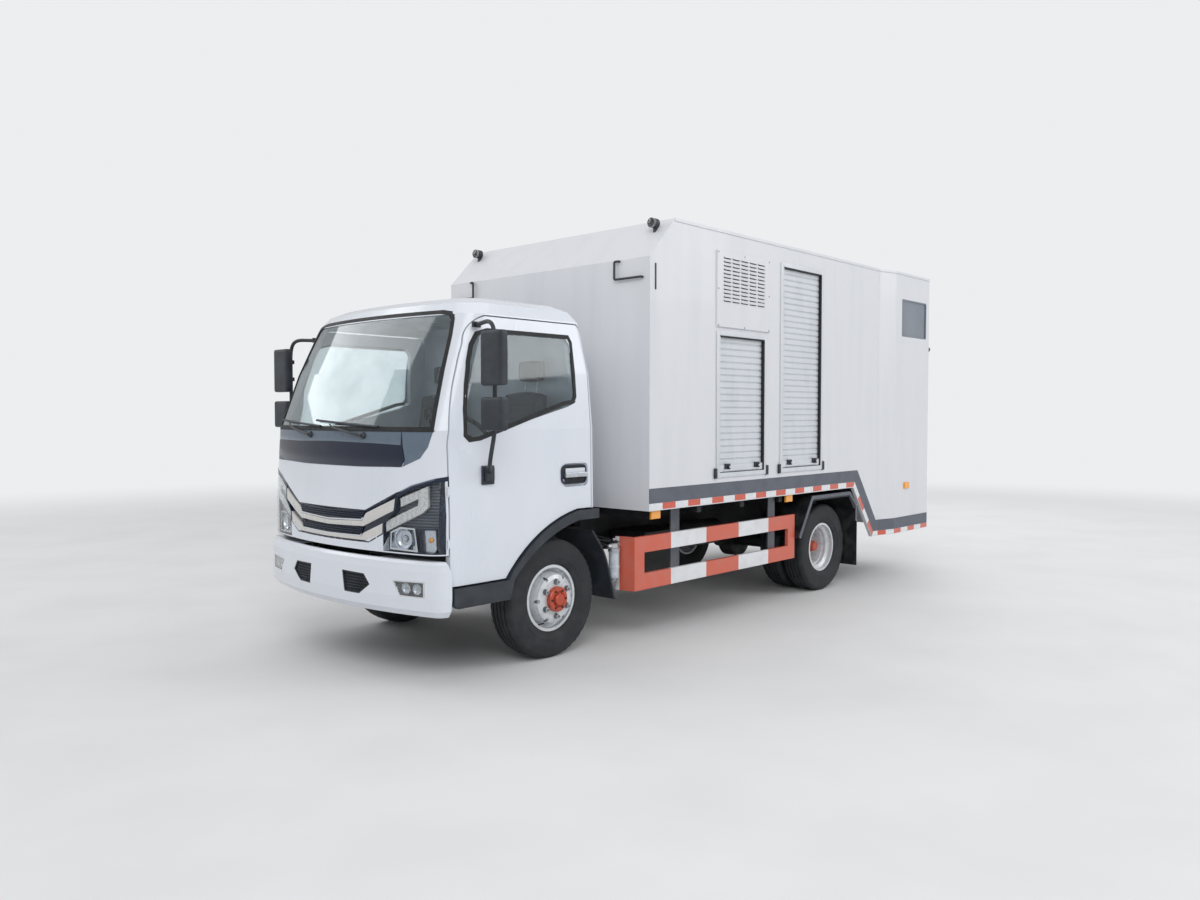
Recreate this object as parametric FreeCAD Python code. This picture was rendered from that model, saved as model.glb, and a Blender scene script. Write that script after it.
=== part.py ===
import FreeCAD, Part
import math
import os

V = FreeCAD.Vector
os.makedirs("parts", exist_ok=True)

# Light two-axle cab-over truck with a hollow bin-washing body.
# Millimetres. +X forward, +Y to the truck's left, +Z up, origin on the ground
# below the middle of the overall length and width.

# Overall layout
wheelbase = 3308
front_overhang = 1120
rear_overhang = 1892
nose_x = (front_overhang + wheelbase + rear_overhang) / 2
tail_x = -nose_x
front_axle_x = nose_x - front_overhang
rear_axle_x = front_axle_x - wheelbase
panel_gap = 8
seat_gap = 0.3
run_gap = 0.05

# Wheels and tyres
tyre_radius = 386
tyre_width = 200
tyre_tread_width = 168
tyre_bead_radius = 204
rim_flange_radius = 222
rim_width = 152
rim_wall = 7
rim_well_radius = 178
wheel_disc_thickness = 10
twin_spacing = 235
front_wheel_y = 778
rear_outer_wheel_y = 867
hand_hole_count = 6
hand_hole_radius = 13
hand_hole_circle_radius = 150
nave_radius = 130
hub_radius = 80
hub_length = 30
hub_cap_radius = 40
hub_cap_reach = 44
rear_hub_radius = 66
rear_hub_length = 92
bearing_radius = 30
wheel_nut_count = 6
wheel_nut_circle_radius = 111
wheel_nut_radius = 13
wheel_nut_length = 24
brake_drum_radius = 160

# Axles and steering
kingpin_y = 600
kingpin_radius = 18
knuckle_height = 150
fork_thickness = 26
axle_beam_height = 80
axle_beam_width = 70
axle_beam_drop = 50
steering_arm_length = 170
steering_arm_thickness = 22
tie_rod_radius = 14
tie_rod_rise = 24
rear_axle_tube_radius = 62
differential_radius = 165
prop_shaft_radius = 38

# Ladder frame
frame_half_width = 375
frame_rail_height = 180
frame_rail_flange = 65
frame_rail_wall = 8
frame_top_z = 740
frame_front_setback = 130
frame_rear_inset = 150
crossmember_radius = 45
spring_y = 365
spring_width = 60
front_spring_half_length = 600
rear_spring_half_length = 640
spring_leaf_thickness = 11
front_spring_leaves = 3
rear_spring_leaves = 6
front_spring_sweep = 40
rear_spring_sweep = 10
spring_eye_radius = 22

# Drive line and tanks
engine_length = 760
engine_width = 500
engine_height = 560
engine_bottom_z = 500
engine_front_setback = 480
gearbox_length = 520
gearbox_radius = 150
gearbox_rise = 60
fuel_tank_length = 640
fuel_tank_height = 330
fuel_tank_depth = 400
fuel_tank_x = 700
battery_box_length = 420
battery_box_height = 300
battery_box_depth = 330
battery_box_x = 740
air_tank_radius = 105
air_tank_length = 620
air_tank_x = 60
muffler_radius = 110
muffler_length = 440
muffler_x = 1290
exhaust_pipe_radius = 34

# Washing body
body_half_width = 1069
body_front_setback = 730
body_floor_z = 906
body_floor_thickness = 40
body_wall = 30
body_roof_z = 2950
body_chamfer_drop = 300
body_chamfer_run = 290
roof_thickness = 30
subframe_height = 110
subframe_width = 60
rear_section_half_width = 1125
rear_section_start = 1072
rear_bevel_length = 230
rear_section_floor_z = 780
skirt_bottom_z = 420
skirt_slope_start = 350
skirt_slope_run = 375
rear_panel_setback = 70

# Openings in the side of the body, set back from its front wall
shutter_reveal = 34
shutter_foot_z = 1100
small_shutter_start = 776
small_shutter_length = 674
small_shutter_head_z = 2195
large_shutter_start = 1660
large_shutter_length = 680
large_shutter_head_z = 2803
slat_pitch = 48
slat_depth = 10
louvre_start = 773
louvre_length = 714
louvre_foot_z = 2225
louvre_head_z = 2790
louvre_panel_thickness = 14
louvre_columns = 5
louvre_rows = 12
louvre_slot_length = 92
louvre_slot_height = 13
louvre_column_pitch = 115
louvre_row_pitch = 29
rear_window_start = 3783
rear_window_length = 542
rear_window_foot_z = 2338
rear_window_head_z = 2688
window_pane_thickness = 6

# Rear portal, hatch and bin lift
portal_depth = 60
portal_post = 80
portal_header = 85
portal_sill_top_z = 830
portal_notch_half_width = 68
portal_notch_top_z = 640
hatch_thickness = 40
mast_y = 600
mast_width = 70
mast_depth = 60
mast_wall = 6
mast_setback = 30
guide_gap = 5
guide_rod_radius = 10
hatch_axis_setback = 20
hatch_pin_radius = 6
hatch_barrel_radius = 12
hatch_barrel_length = 60
hatch_lug_thickness = 14
hatch_hinge_y = (-700, 0, 700)
carriage_width = 1160
carriage_height = 300
carriage_plate = 12
carriage_rest_z = 900
comb_teeth = 4
comb_tooth_width = 60

# Side guard, mudguards, lamps
guard_y = 1020
guard_front_setback = 635
guard_length = 2085
guard_bottom_z = 360
guard_height = 370
guard_band = 112
guard_bar_depth = 28
guard_slot_inset = 105
guard_flange = 150
guard_post_width = 100
guard_post_depth = 10
guard_post_setbacks = (433, 1715)
mudguard_width = 420
mudguard_sheet = 5
mudguard_front_reach = 584
mudguard_front_foot_z = 529
mudguard_top_reach = 374
mudguard_rear_reach = 304
mudguard_drop = 130
mudflap_foot_z = 180
mudflap_reach = 445
marker_length = 100
marker_height = 60
marker_depth = 18
marker_setbacks = (100, 1855)
rear_marker_reach = 500
rear_marker_z = 878
work_lamp_radius = 34
work_lamp_length = 60
work_lamp_setback = 208
work_lamp_y = 950
work_lamp_stand = 50
tail_lamp_width = 260
tail_lamp_height = 90

# Cab shell
cab_nose_setback = 20
cab_rear_setback = 342
cab_half_width = 940
cab_bow_radius = 3070
cab_corner_radius = 170
cab_back_corner_radius = 60
cab_wall = 50
cab_skirt_z = 580
cab_panel_foot_z = 765
chin_setback = 6
brow_z = 1000
belt_z = 1480
belt_setback = 32
waist_half_width = 934
mid_glass_z = 1840
mid_glass_setback = 165
mid_glass_half_width = 904
header_z = 2175
header_setback = 321
header_half_width = 856
header_rear_setback = 62
roof_rim_z = 2245
roof_rim_setback = 385
roof_rim_half_width = 808
roof_rim_rear_setback = 105
roof_top_z = 2285
roof_top_setback = 480
roof_top_half_width = 715
roof_top_rear_setback = 170
glass_thickness = 6
glass_inset = 4
windscreen_foot_half_width = 856
windscreen_head_half_width = 745
windscreen_head_z = 2168
cowl_foot_z = 1272
cowl_half_width = 905
cowl_depth = 16
back_window_half_width = 520
back_window_foot_z = 1560
back_window_height = 420

# Doors
door_front_setback = 214
door_break_z = 1400
door_mid_front_setback = 320
door_mid_z = 1840
door_shoulder_front_setback = 385
door_shoulder_z = 1992
door_top_front_setback = 545
door_top_z = 2162
door_rear_inset = 55
door_foot_length = 420
door_cut_depth = 80
door_swing_relief = 6
door_skin_depth = 20
door_hinge_heights = (830, 1130)
door_hinge_inset = 14
door_hinge_pin_radius = 4
door_hinge_barrel_radius = 7.5
door_hinge_barrel_length = 40
door_hinge_tab_height = 9
door_hinge_clearance = 2
arch_crown_z = 957
arch_rear_setback = 155
door_window_foot_front_z = 1422
door_window_foot_rear_z = 1650
door_window_break_setback = 1180
door_window_front_setback = 326
door_window_mid_front_setback = 355
door_window_mid_z = 1744
door_window_corner_front_setback = 428
door_window_corner_z = 1990
door_window_rear_inset = 127
door_window_top_z = 2078
door_window_top_front_setback = 560
handle_setback = 1125
handle_length = 230
handle_height = 150
handle_z = 1182

# Nose details
headlamp_inner_y = 520
headlamp_outer_setback = 12
headlamp_foot_z = 772
headlamp_inner_top_z = 1113
headlamp_outer_top_z = 1217
headlamp_depth = 60
grille_half_width = 372
grille_top_z = 1005
grille_bar_height = 74
grille_bar_gap = 44
grille_depth = 20
wing_outer_y = 632
wing_rise = 120
wing_height = 62
bumper_foot_z = 410
bumper_top_z = 732
bumper_heel_rise = 85
bumper_heel_run = 25
bumper_half_width = 958
bumper_bow_radius = 3070
bumper_corner_radius = 100
bumper_length = 228
bumper_skin = 12
bumper_bracket_height = 28
bumper_inlet_inner_y = 175
bumper_inlet_outer_y = 430
bumper_inlet_foot_z = 503
bumper_inlet_top_z = 632
fog_lamp_inner_y = 610
fog_lamp_outer_y = 845
fog_lamp_foot_z = 522
fog_lamp_top_z = 612
tilt_axis_setback = 90
tilt_axis_z = 660
tilt_pin_radius = 12
tilt_lug_thickness = 14
tilt_lug_y = 320
tilt_arm_gap = 10

# Cab inside
footwell_z = 800
cab_floor_z = 1000
cab_floor_thickness = 30
cabin_side_clearance = 22
footwell_length = 560
tunnel_half_width = 300
tunnel_top_z = 1100
seat_width = 480
seat_depth = 470
seat_cushion_height = 130
seat_back_height = 560
seat_back_thickness = 110
driver_seat_y = 470
passenger_seat_y = -470
seat_setback = 800
seat_back_lean = 70
seat_plinth_height = 90
seat_plinth_inset = 80
dash_depth = 330
dash_top_z = 1450
dash_foot_z = 1120
steering_wheel_radius = 215
steering_wheel_rim_radius = 14
steering_wheel_z = 1500
steering_wheel_setback = 660
steering_wheel_tilt = 32
column_radius = 26
column_foot = 330

# Arch flares and step sills
flare_width = 62
flare_proud = 22
flare_thickness = 46
sill_foot_z = 455
sill_depth = 120

# Mirrors
mirror_y = 1130
mirror_setback = 285
mirror_head_width = 180
mirror_head_depth = 58
mirror_upper_foot_z = 1735
mirror_upper_height = 310
mirror_lower_foot_z = 1480
mirror_lower_height = 190
mirror_tube_radius = 13
mirror_arm_setback = 480
mirror_foot_z = 1215
mirror_head_arm_z = 2110

# Towing
tow_bore_radius = 16
tow_plate_thickness = 30
tow_plate_length = 104
tow_bore_reach = 66
tow_plate_width = 120
plate_hole_radius = 4
plate_hole_spacing = 200


def box(x0, x1, y0, y1, z0, z1):
    low = V(min(x0, x1), min(y0, y1), min(z0, z1))
    return Part.makeBox(abs(x1 - x0), abs(y1 - y0), abs(z1 - z0), low)


def rod(start, end, radius):
    line = end.sub(start)
    return Part.makeCylinder(radius, line.Length, start, line)


def cross_rod(x, z, y0, y1, radius):
    return rod(V(x, min(y0, y1), z), V(x, max(y0, y1), z), radius)


def prism(points, direction):
    face = Part.Face(Part.makePolygon(points + [points[0]]))
    return face.extrude(direction)


def side_prism(outline, y0, y1):
    """Closed X-Z outline carried from y0 to y1."""
    points = [V(x, y0, z) for x, z in outline]
    return prism(points, V(0, y1 - y0, 0))


def front_prism(outline, x0, x1):
    """Closed Y-Z outline carried from x0 to x1."""
    points = [V(x0, y, z) for y, z in outline]
    return prism(points, V(x1 - x0, 0, 0))


def plan_prism(outline, z0, z1):
    """Closed X-Y outline carried from z0 to z1."""
    points = [V(x, y, z0) for x, y in outline]
    return prism(points, V(0, 0, z1 - z0))


def mirrored(shape):
    return shape.mirror(V(0, 0, 0), V(0, 1, 0))


def both_sides(shapes):
    return shapes + [mirrored(shape) for shape in shapes]


def fused(shapes):
    whole = shapes[0].fuse(shapes[1:])
    return whole.removeSplitter()


def save(name, shapes):
    solids = []
    for shape in shapes:
        solids.extend(shape.Solids)
    item = solids[0] if len(solids) == 1 else Part.makeCompound(solids)
    item.exportStep("parts/" + name + ".step")


def round_edges(shape, radius, wanted):
    edges = [edge for edge in shape.Edges if wanted(edge)]
    return shape.makeFillet(radius, edges)


def runs_along(edge, axis):
    ends = [vertex.Point for vertex in edge.Vertexes]
    if len(ends) < 2:
        return False
    line = ends[1].sub(ends[0])
    return abs(line.normalize().dot(axis)) > 0.999


def turned_about_y(outline, x, z):
    """Outline of (radius, y) points turned about a cross axis through x, z."""
    points = [V(x + radius, y, z) for radius, y in outline]
    face = Part.Face(Part.makePolygon(points + [points[0]]))
    return face.revolve(V(x, 0, z), V(0, 1, 0), 360)


# Tyres, rims and hubs
def tyre(x, y):
    half = tyre_width / 2
    tread_half = tyre_tread_width / 2
    bead_half = rim_width / 2 - rim_wall - seat_gap
    flank_foot_radius = rim_flange_radius + 1
    shoulder_radius = tyre_radius - 14
    belly_radius = (tyre_bead_radius + shoulder_radius) / 2
    z = tyre_radius

    def at(radius, offset):
        return V(x + radius, y + offset, z)

    def bead_wall(side):
        return Part.makeLine(at(tyre_bead_radius, side * bead_half), at(flank_foot_radius, side * bead_half))

    def flank(side):
        return Part.Arc(
            at(flank_foot_radius, side * bead_half),
            at(belly_radius, side * half),
            at(shoulder_radius, side * tread_half),
        ).toShape()

    crown = Part.Arc(
        at(shoulder_radius, tread_half),
        at(tyre_radius, 0),
        at(shoulder_radius, -tread_half),
    ).toShape()
    bead = Part.makeLine(at(tyre_bead_radius, -bead_half), at(tyre_bead_radius, bead_half))
    section = Part.Wire(Part.__sortEdges__([bead_wall(1), flank(1), crown, flank(-1), bead_wall(-1), bead]))
    return Part.Face(section).revolve(V(x, y, z), V(0, 1, 0), 360)


def rim(x, y, facing, bore):
    """Rim ring and pressed disc; facing is the side the disc bulges to."""
    z = tyre_radius
    half = rim_width / 2
    disc_y = facing * twin_spacing / 2
    back_y = disc_y - facing * wheel_disc_thickness
    seat = tyre_bead_radius - seat_gap
    ring = [
        (rim_flange_radius, -half), (rim_flange_radius, -half + rim_wall),
        (seat, -half + rim_wall), (seat, -half + 34), (rim_well_radius, -half + 50),
        (rim_well_radius, half - 50), (seat, half - 34), (seat, half - rim_wall),
        (rim_flange_radius, half - rim_wall), (rim_flange_radius, half),
        (seat - rim_wall, half), (seat - rim_wall, half - 34),
        (rim_well_radius - rim_wall, half - 52), (rim_well_radius - rim_wall, -half + 52),
        (seat - rim_wall, -half + 34), (seat - rim_wall, -half),
    ]
    ring_solid = turned_about_y([(r, y + w) for r, w in ring], x, z)
    root_y = facing * 10
    shoulder_y = facing * (twin_spacing / 2 - 34)
    skin = facing * wheel_disc_thickness
    inner = rim_well_radius - rim_wall + 1
    dish = [
        (bore, back_y), (bore, disc_y), (nave_radius, disc_y), (nave_radius + 24, disc_y - skin),
        (inner - 8, shoulder_y), (inner - 1, root_y + skin), (inner, root_y + skin), (inner, root_y),
        (inner - 12, root_y), (inner - 19, shoulder_y - skin / 2), (nave_radius + 18, back_y - skin),
        (nave_radius, back_y),
    ]
    disc = turned_about_y([(r, y + w) for r, w in dish], x, z)
    for index in range(hand_hole_count):
        angle = 2 * math.pi * index / hand_hole_count
        hole_x = x + hand_hole_circle_radius * math.cos(angle)
        hole_z = z + hand_hole_circle_radius * math.sin(angle)
        disc = disc.cut(cross_rod(hole_x, hole_z, y - tyre_width, y + tyre_width, hand_hole_radius))
    return fused([ring_solid, disc])


def wheel_nuts(x, y, facing):
    nuts = []
    for index in range(wheel_nut_count):
        angle = 2 * math.pi * (index + 0.5) / wheel_nut_count
        nut_x = x + wheel_nut_circle_radius * math.cos(angle)
        nut_z = tyre_radius + wheel_nut_circle_radius * math.sin(angle)
        nuts.append(cross_rod(nut_x, nut_z, y, y + facing * wheel_nut_length, wheel_nut_radius))
    return nuts


stub_end_y = front_wheel_y + twin_spacing / 2 + hub_length - 30
drum_width = 90


def front_wheel(side):
    x = front_axle_x
    z = tyre_radius
    face_y = front_wheel_y + twin_spacing / 2
    drum_y = face_y - wheel_disc_thickness
    front_y = face_y + hub_length
    cap_y = face_y + hub_cap_reach
    parts = [rim(x, front_wheel_y, 1, hub_radius - 4)]
    hub = [
        (bearing_radius + run_gap, drum_y - drum_width), (brake_drum_radius - 20, drum_y - drum_width),
        (brake_drum_radius - 20, drum_y - 14), (nave_radius - 6, drum_y), (hub_radius - 4, drum_y),
        (hub_radius - 4, face_y), (hub_radius, face_y), (hub_radius, front_y - 6), (hub_radius - 6, front_y),
        (hub_cap_radius + 12, front_y), (hub_cap_radius + 6, front_y - 8), (hub_cap_radius, front_y - 8),
        (hub_cap_radius, cap_y - 5), (hub_cap_radius - 5, cap_y),
        (8, cap_y), (8, cap_y - 8), (bearing_radius + run_gap, stub_end_y + 8),
    ]
    parts.append(turned_about_y(hub, x, z))
    parts.extend(wheel_nuts(x, face_y, 1))
    wheel = fused(parts)
    plug = cross_rod(x, z, cap_y - 8, cap_y, 8)
    wheel = fused([wheel, plug])
    rubber = tyre(x, front_wheel_y)
    return [wheel, rubber] if side > 0 else [mirrored(wheel), mirrored(rubber)]


def rear_wheel(side):
    x = rear_axle_x
    z = tyre_radius
    inner_y = rear_outer_wheel_y - twin_spacing
    face_y = inner_y + twin_spacing / 2
    back_y = face_y - wheel_disc_thickness
    axis_y = face_y + rear_hub_length + 30
    bore = rear_hub_radius - 4
    parts = [rim(x, inner_y, 1, bore), rim(x, rear_outer_wheel_y, -1, bore)]
    hub = [
        (rear_axle_tube_radius - 22, back_y - drum_width - 10),
        (brake_drum_radius - 20, back_y - drum_width - 10), (brake_drum_radius - 20, back_y - 12),
        (nave_radius - 6, back_y), (bore, back_y), (bore, face_y + 70),
        (bore - 20, axis_y), (rear_axle_tube_radius - 22, axis_y),
    ]
    core = [(r if r != rear_axle_tube_radius - 22 else bearing_radius + run_gap, w) for r, w in hub]
    parts.append(turned_about_y(core, x, z))
    parts.append(cross_rod(x, z, axis_y, axis_y + 10, bore - 20))
    parts.extend(wheel_nuts(x, face_y + wheel_disc_thickness, 1))
    wheel = fused(parts)
    tyres = [tyre(x, inner_y), tyre(x, rear_outer_wheel_y)]
    return [wheel, tyres] if side > 0 else [mirrored(wheel), [mirrored(t) for t in tyres]]


for side, word in ((1, "left"), (-1, "right")):
    wheel, rubber = front_wheel(side)
    save("rim_front_" + word, [wheel])
    save("tyre_front_" + word, [rubber])
    wheel, rubbers = rear_wheel(side)
    save("rims_rear_" + word, [wheel])
    save("tyres_rear_" + word, rubbers)


# Steering knuckles, tie rod and axles
def knuckle(side):
    x = front_axle_x
    z = tyre_radius
    low = z - knuckle_height / 2
    high = z + knuckle_height / 2
    drum_y = front_wheel_y + twin_spacing / 2 - wheel_disc_thickness - drum_width
    boss = Part.makeCylinder(kingpin_radius + 20, knuckle_height, V(x, kingpin_y, low))
    slot = box(x - 60, x + 60, kingpin_y - 60, kingpin_y + 44, low + fork_thickness, high - fork_thickness)
    web = box(x - 40, x + 40, kingpin_y + 45, kingpin_y + 75, low, high)
    ears = box(x - 38, x + 38, kingpin_y, kingpin_y + 60, low, high)
    stub = cross_rod(x, z, kingpin_y + 60, stub_end_y, bearing_radius)
    flange = cross_rod(x, z, kingpin_y + 75, drum_y - 6, 90)
    body = fused([boss, ears]).cut(slot)
    pin = Part.makeCylinder(kingpin_radius, knuckle_height, V(x, kingpin_y, low))
    arm_z = low - steering_arm_thickness
    arm = box(x - steering_arm_length - 26, x + 20, kingpin_y - 24, kingpin_y + 24, arm_z, low)
    arm = round_edges(arm, 23, lambda e: runs_along(e, V(0, 0, 1)) and e.CenterOfMass.x < x - 50)
    ball = Part.makeCylinder(9, 30, V(x - steering_arm_length, kingpin_y, arm_z - 30))
    whole = fused([body, web, stub, flange, pin, arm, ball])
    return whole if side > 0 else mirrored(whole)


ball_z = tyre_radius - knuckle_height / 2 - steering_arm_thickness
tie_rod_z = ball_z - tie_rod_rise / 2 - 3
for side, word in ((1, "left"), (-1, "right")):
    save("knuckle_" + word, [knuckle(side)])

rod_x = front_axle_x - steering_arm_length
tie_bar = cross_rod(rod_x, tie_rod_z, -kingpin_y, kingpin_y, tie_rod_radius)
sockets = [
    Part.makeCylinder(20, tie_rod_rise, V(rod_x, y, tie_rod_z - tie_rod_rise / 2))
    for y in (-kingpin_y, kingpin_y)
]
ball_holes = [
    Part.makeCylinder(9 + run_gap, 60, V(rod_x, y, tie_rod_z - 30)) for y in (-kingpin_y, kingpin_y)
]
save("tie_rod", [fused([tie_bar] + sockets).cut(Part.makeCompound(ball_holes))])


def leaf_pack(axle_x, base_z, half_length, leaves, sweep, side):
    """Stack of curved leaves above the axle with an eye at each end."""
    solids = []
    y0 = side * spring_y - spring_width / 2
    for index in range(leaves):
        reach = half_length * (1 - 0.13 * index)
        low = base_z + (leaves - 1 - index) * spring_leaf_thickness
        drop = sweep * (1 - (reach / half_length) ** 2)
        rise = sweep - drop

        def curve(level):
            return Part.Arc(
                V(axle_x - reach, y0, level + rise),
                V(axle_x, y0, level),
                V(axle_x + reach, y0, level + rise),
            ).toShape()

        bottom = curve(low)
        top = curve(low + spring_leaf_thickness)
        ends = [
            Part.makeLine(V(axle_x + s * reach, y0, low + rise),
                          V(axle_x + s * reach, y0, low + rise + spring_leaf_thickness))
            for s in (-1, 1)
        ]
        face = Part.Face(Part.Wire(Part.__sortEdges__([bottom, top] + ends)))
        solids.append(face.extrude(V(0, spring_width, 0)))
    eye_z = base_z + (leaves - 0.5) * spring_leaf_thickness + sweep
    for s in (-1, 1):
        eye_x = axle_x + s * (half_length + spring_eye_radius - 4)
        solids.append(cross_rod(eye_x, eye_z, y0, y0 + spring_width, spring_eye_radius))
        hanger_top = frame_top_z - frame_rail_height - seat_gap
        hanger = side_prism(
            [(eye_x - 22, eye_z), (eye_x + 22, eye_z), (eye_x + 40, hanger_top), (eye_x - 40, hanger_top)],
            y0 + 8, y0 + spring_width - 8,
        )
        solids.append(hanger)
    return fused(solids)


def front_axle():
    x = front_axle_x
    z = tyre_radius
    half = axle_beam_height / 2
    pad_z = z - axle_beam_drop + half
    low = z - axle_beam_drop
    profile = [
        (-kingpin_y, z - 36), (-kingpin_y + 50, z - 36), (-spring_y - 80, low - half),
        (spring_y + 80, low - half), (kingpin_y - 50, z - 36), (kingpin_y, z - 36),
        (kingpin_y, z + 36), (spring_y + 80, low + half), (-spring_y - 80, low + half), (-kingpin_y, z + 36),
    ]
    beam = front_prism(profile, x - axle_beam_width / 2, x + axle_beam_width / 2)
    eyes = [Part.makeCylinder(36, 72, V(x, y, z - 36)) for y in (-kingpin_y, kingpin_y)]
    holes = [
        Part.makeCylinder(kingpin_radius + run_gap, 200, V(x, y, z - 100)) for y in (-kingpin_y, kingpin_y)
    ]
    beam = fused([beam] + eyes).cut(Part.makeCompound(holes))
    solids = [beam]
    for side in (1, -1):
        seat = box(x - 60, x + 60, side * spring_y - 34, side * spring_y + 34, pad_z, pad_z + 36)
        pack = leaf_pack(x, pad_z + 36, front_spring_half_length, front_spring_leaves,
                         front_spring_sweep, side)
        solids.append(fused([seat, pack]))
    return solids


def rear_axle():
    x = rear_axle_x
    z = tyre_radius
    drum_y = rear_outer_wheel_y - twin_spacing / 2 - wheel_disc_thickness - drum_width - 16
    tube = cross_rod(x, z, -drum_y, drum_y, rear_axle_tube_radius)
    spindle_end = rear_outer_wheel_y - twin_spacing / 2 + rear_hub_length
    spindle = cross_rod(x, z, -spindle_end, spindle_end, bearing_radius)
    banjo = cross_rod(x, z, -70, 70, differential_radius)
    nose = rod(V(x, 0, z), V(x + differential_radius + 90, 0, z + 18), 70)
    axle = fused([tube, spindle, banjo, nose])
    solids = [axle]
    pad_z = z + rear_axle_tube_radius - 8
    for side in (1, -1):
        seat = box(x - 60, x + 60, side * spring_y - 34, side * spring_y + 34, pad_z, pad_z + 26)
        seat = seat.cut(cross_rod(x, z, -drum_y, drum_y, rear_axle_tube_radius))
        pack = leaf_pack(x, pad_z + 26, rear_spring_half_length, rear_spring_leaves,
                         rear_spring_sweep, side)
        solids.append(fused([seat, pack]))
    joint_x = x + differential_radius + 90
    gearbox_end_x = nose_x - engine_front_setback - engine_length - gearbox_length
    shaft_end_z = engine_bottom_z + gearbox_rise
    shaft = rod(V(joint_x - 20, 0, z + 18), V(gearbox_end_x + 20, 0, shaft_end_z), prop_shaft_radius)
    beyond = box(gearbox_end_x - seat_gap, gearbox_end_x + 60, -60, 60, shaft_end_z - 80, shaft_end_z + 80)
    solids[0] = fused([axle, shaft.cut(beyond)])
    return solids


save("front_axle", front_axle())
save("rear_axle", rear_axle())


# Ladder frame: rails with tilt brackets, then cross members with tow plates
def rail(side):
    x0 = tail_x + frame_rear_inset
    x1 = nose_x - frame_front_setback
    z0 = frame_top_z - frame_rail_height
    inner = side * (frame_half_width - frame_rail_flange)
    outer = side * frame_half_width
    beam = box(x0, x1, inner, outer, z0, frame_top_z)
    web_face = side * (frame_half_width - frame_rail_wall)
    hollow = box(x0, x1, side, web_face, z0 + frame_rail_wall, frame_top_z - frame_rail_wall)
    return beam.cut(hollow)


def tilt_lug(side):
    """Plate on the rail's front end with the pin that the cab turns on."""
    front_x = nose_x - frame_front_setback
    foot_z = frame_top_z - frame_rail_height + 20
    tilt_x = nose_x - tilt_axis_setback
    y0 = side * (tilt_lug_y - tilt_lug_thickness / 2)
    y1 = side * (tilt_lug_y + tilt_lug_thickness / 2)
    lug = side_prism(
        [(front_x - 40, foot_z), (front_x + 30, foot_z), (tilt_x + 12, tilt_axis_z - 16),
         (tilt_x + 12, tilt_axis_z + 14), (tilt_x - 14, tilt_axis_z + 18), (front_x - 40, frame_top_z)],
        y0, y1,
    )
    pin_reach = tilt_arm_gap + tilt_lug_thickness + 4
    return fused([lug, cross_rod(tilt_x, tilt_axis_z, y0 - side * pin_reach, y1, tilt_pin_radius)])


save("frame_rails", [fused([rail(side), tilt_lug(side)]) for side in (1, -1)])


def cross_members():
    mid_z = frame_top_z - frame_rail_height / 2
    plate_z = frame_top_z - frame_rail_height - 10
    reach = frame_half_width - frame_rail_wall - seat_gap
    front_x = nose_x - frame_front_setback
    rear_x = tail_x + frame_rear_inset
    members = [cross_rod(x, mid_z, -reach, reach, crossmember_radius)
               for x in (front_axle_x - 700, 700, -300, rear_axle_x - 640)]
    half = tow_plate_width / 2
    for x, facing, setback in ((front_x, 1, 100), (rear_x, -1, 60)):
        tube = cross_rod(x - facing * setback, mid_z, -reach, reach, crossmember_radius)
        plate = box(x - facing * tow_plate_length / 2, x + facing * tow_plate_length, -half, half,
                    plate_z, plate_z + tow_plate_thickness)
        post_x = x - facing * 60
        post = box(post_x - 20, post_x + 20, -half, half, plate_z, mid_z)
        bore = Part.makeCylinder(tow_bore_radius, 200, V(x + facing * tow_bore_reach, 0, plate_z - 90))
        members.append(fused([tube, plate, post]).cut(bore))
    return members


save("cross_members", cross_members())

# Engine with gearbox
engine_x1 = nose_x - engine_front_setback
engine_x0 = engine_x1 - engine_length
engine_block = box(engine_x0, engine_x1, -engine_width / 2, engine_width / 2,
                   engine_bottom_z, engine_bottom_z + engine_height)
gearbox_z = engine_bottom_z + gearbox_rise
gearbox = rod(V(engine_x0 + 20, 0, gearbox_z), V(engine_x0 - gearbox_length, 0, gearbox_z), gearbox_radius)
save("engine", [fused([engine_block, gearbox])])


def side_tank(x_mid, length, depth, foot_z, height, side, radius):
    """Box tank hung outside a frame rail on two straps."""
    y0 = side * (frame_half_width + seat_gap)
    y1 = side * (frame_half_width + 25)
    y2 = side * (frame_half_width + 25 + depth)
    shell = box(x_mid - length / 2, x_mid + length / 2, y1, y2, foot_z, foot_z + height)
    shell = round_edges(shell, radius, lambda e: runs_along(e, V(1, 0, 0)))
    brackets = []
    for offset in (-length / 3, length / 3):
        x = x_mid + offset
        brackets.append(box(x - 25, x + 25, y0, y1 + side * radius,
                            foot_z + height / 2, foot_z + height * 0.75))
    return fused([shell] + brackets)


fuel_tank_foot_z = frame_top_z - 60 - fuel_tank_height
battery_box_foot_z = frame_top_z - 40 - battery_box_height
fuel_tank = side_tank(fuel_tank_x, fuel_tank_length, fuel_tank_depth, fuel_tank_foot_z, fuel_tank_height, -1, 60)
save("fuel_tank", [fuel_tank])
battery_box = side_tank(battery_box_x, battery_box_length, battery_box_depth,
                        battery_box_foot_z, battery_box_height, 1, 12)
save("battery_box", [battery_box])


def air_tanks():
    solids = []
    for side in (1, -1):
        y = side * (frame_half_width + 30 + air_tank_radius)
        z = frame_top_z - 40 - air_tank_radius
        x0 = air_tank_x - air_tank_length / 2
        tank = Part.makeCylinder(air_tank_radius, air_tank_length, V(x0, y, z), V(1, 0, 0))
        tank = tank.makeFillet(30, [e for e in tank.Edges if len(e.Vertexes) == 1])
        inner = side * (frame_half_width + seat_gap)
        strap_xs = (x0 + 120, x0 + air_tank_length - 120)
        strap = [box(x - 15, x + 15, inner, y, z - 20, z + 20) for x in strap_xs]
        solids.append(fused([tank] + strap))
    return solids


save("air_tanks", air_tanks())


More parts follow.
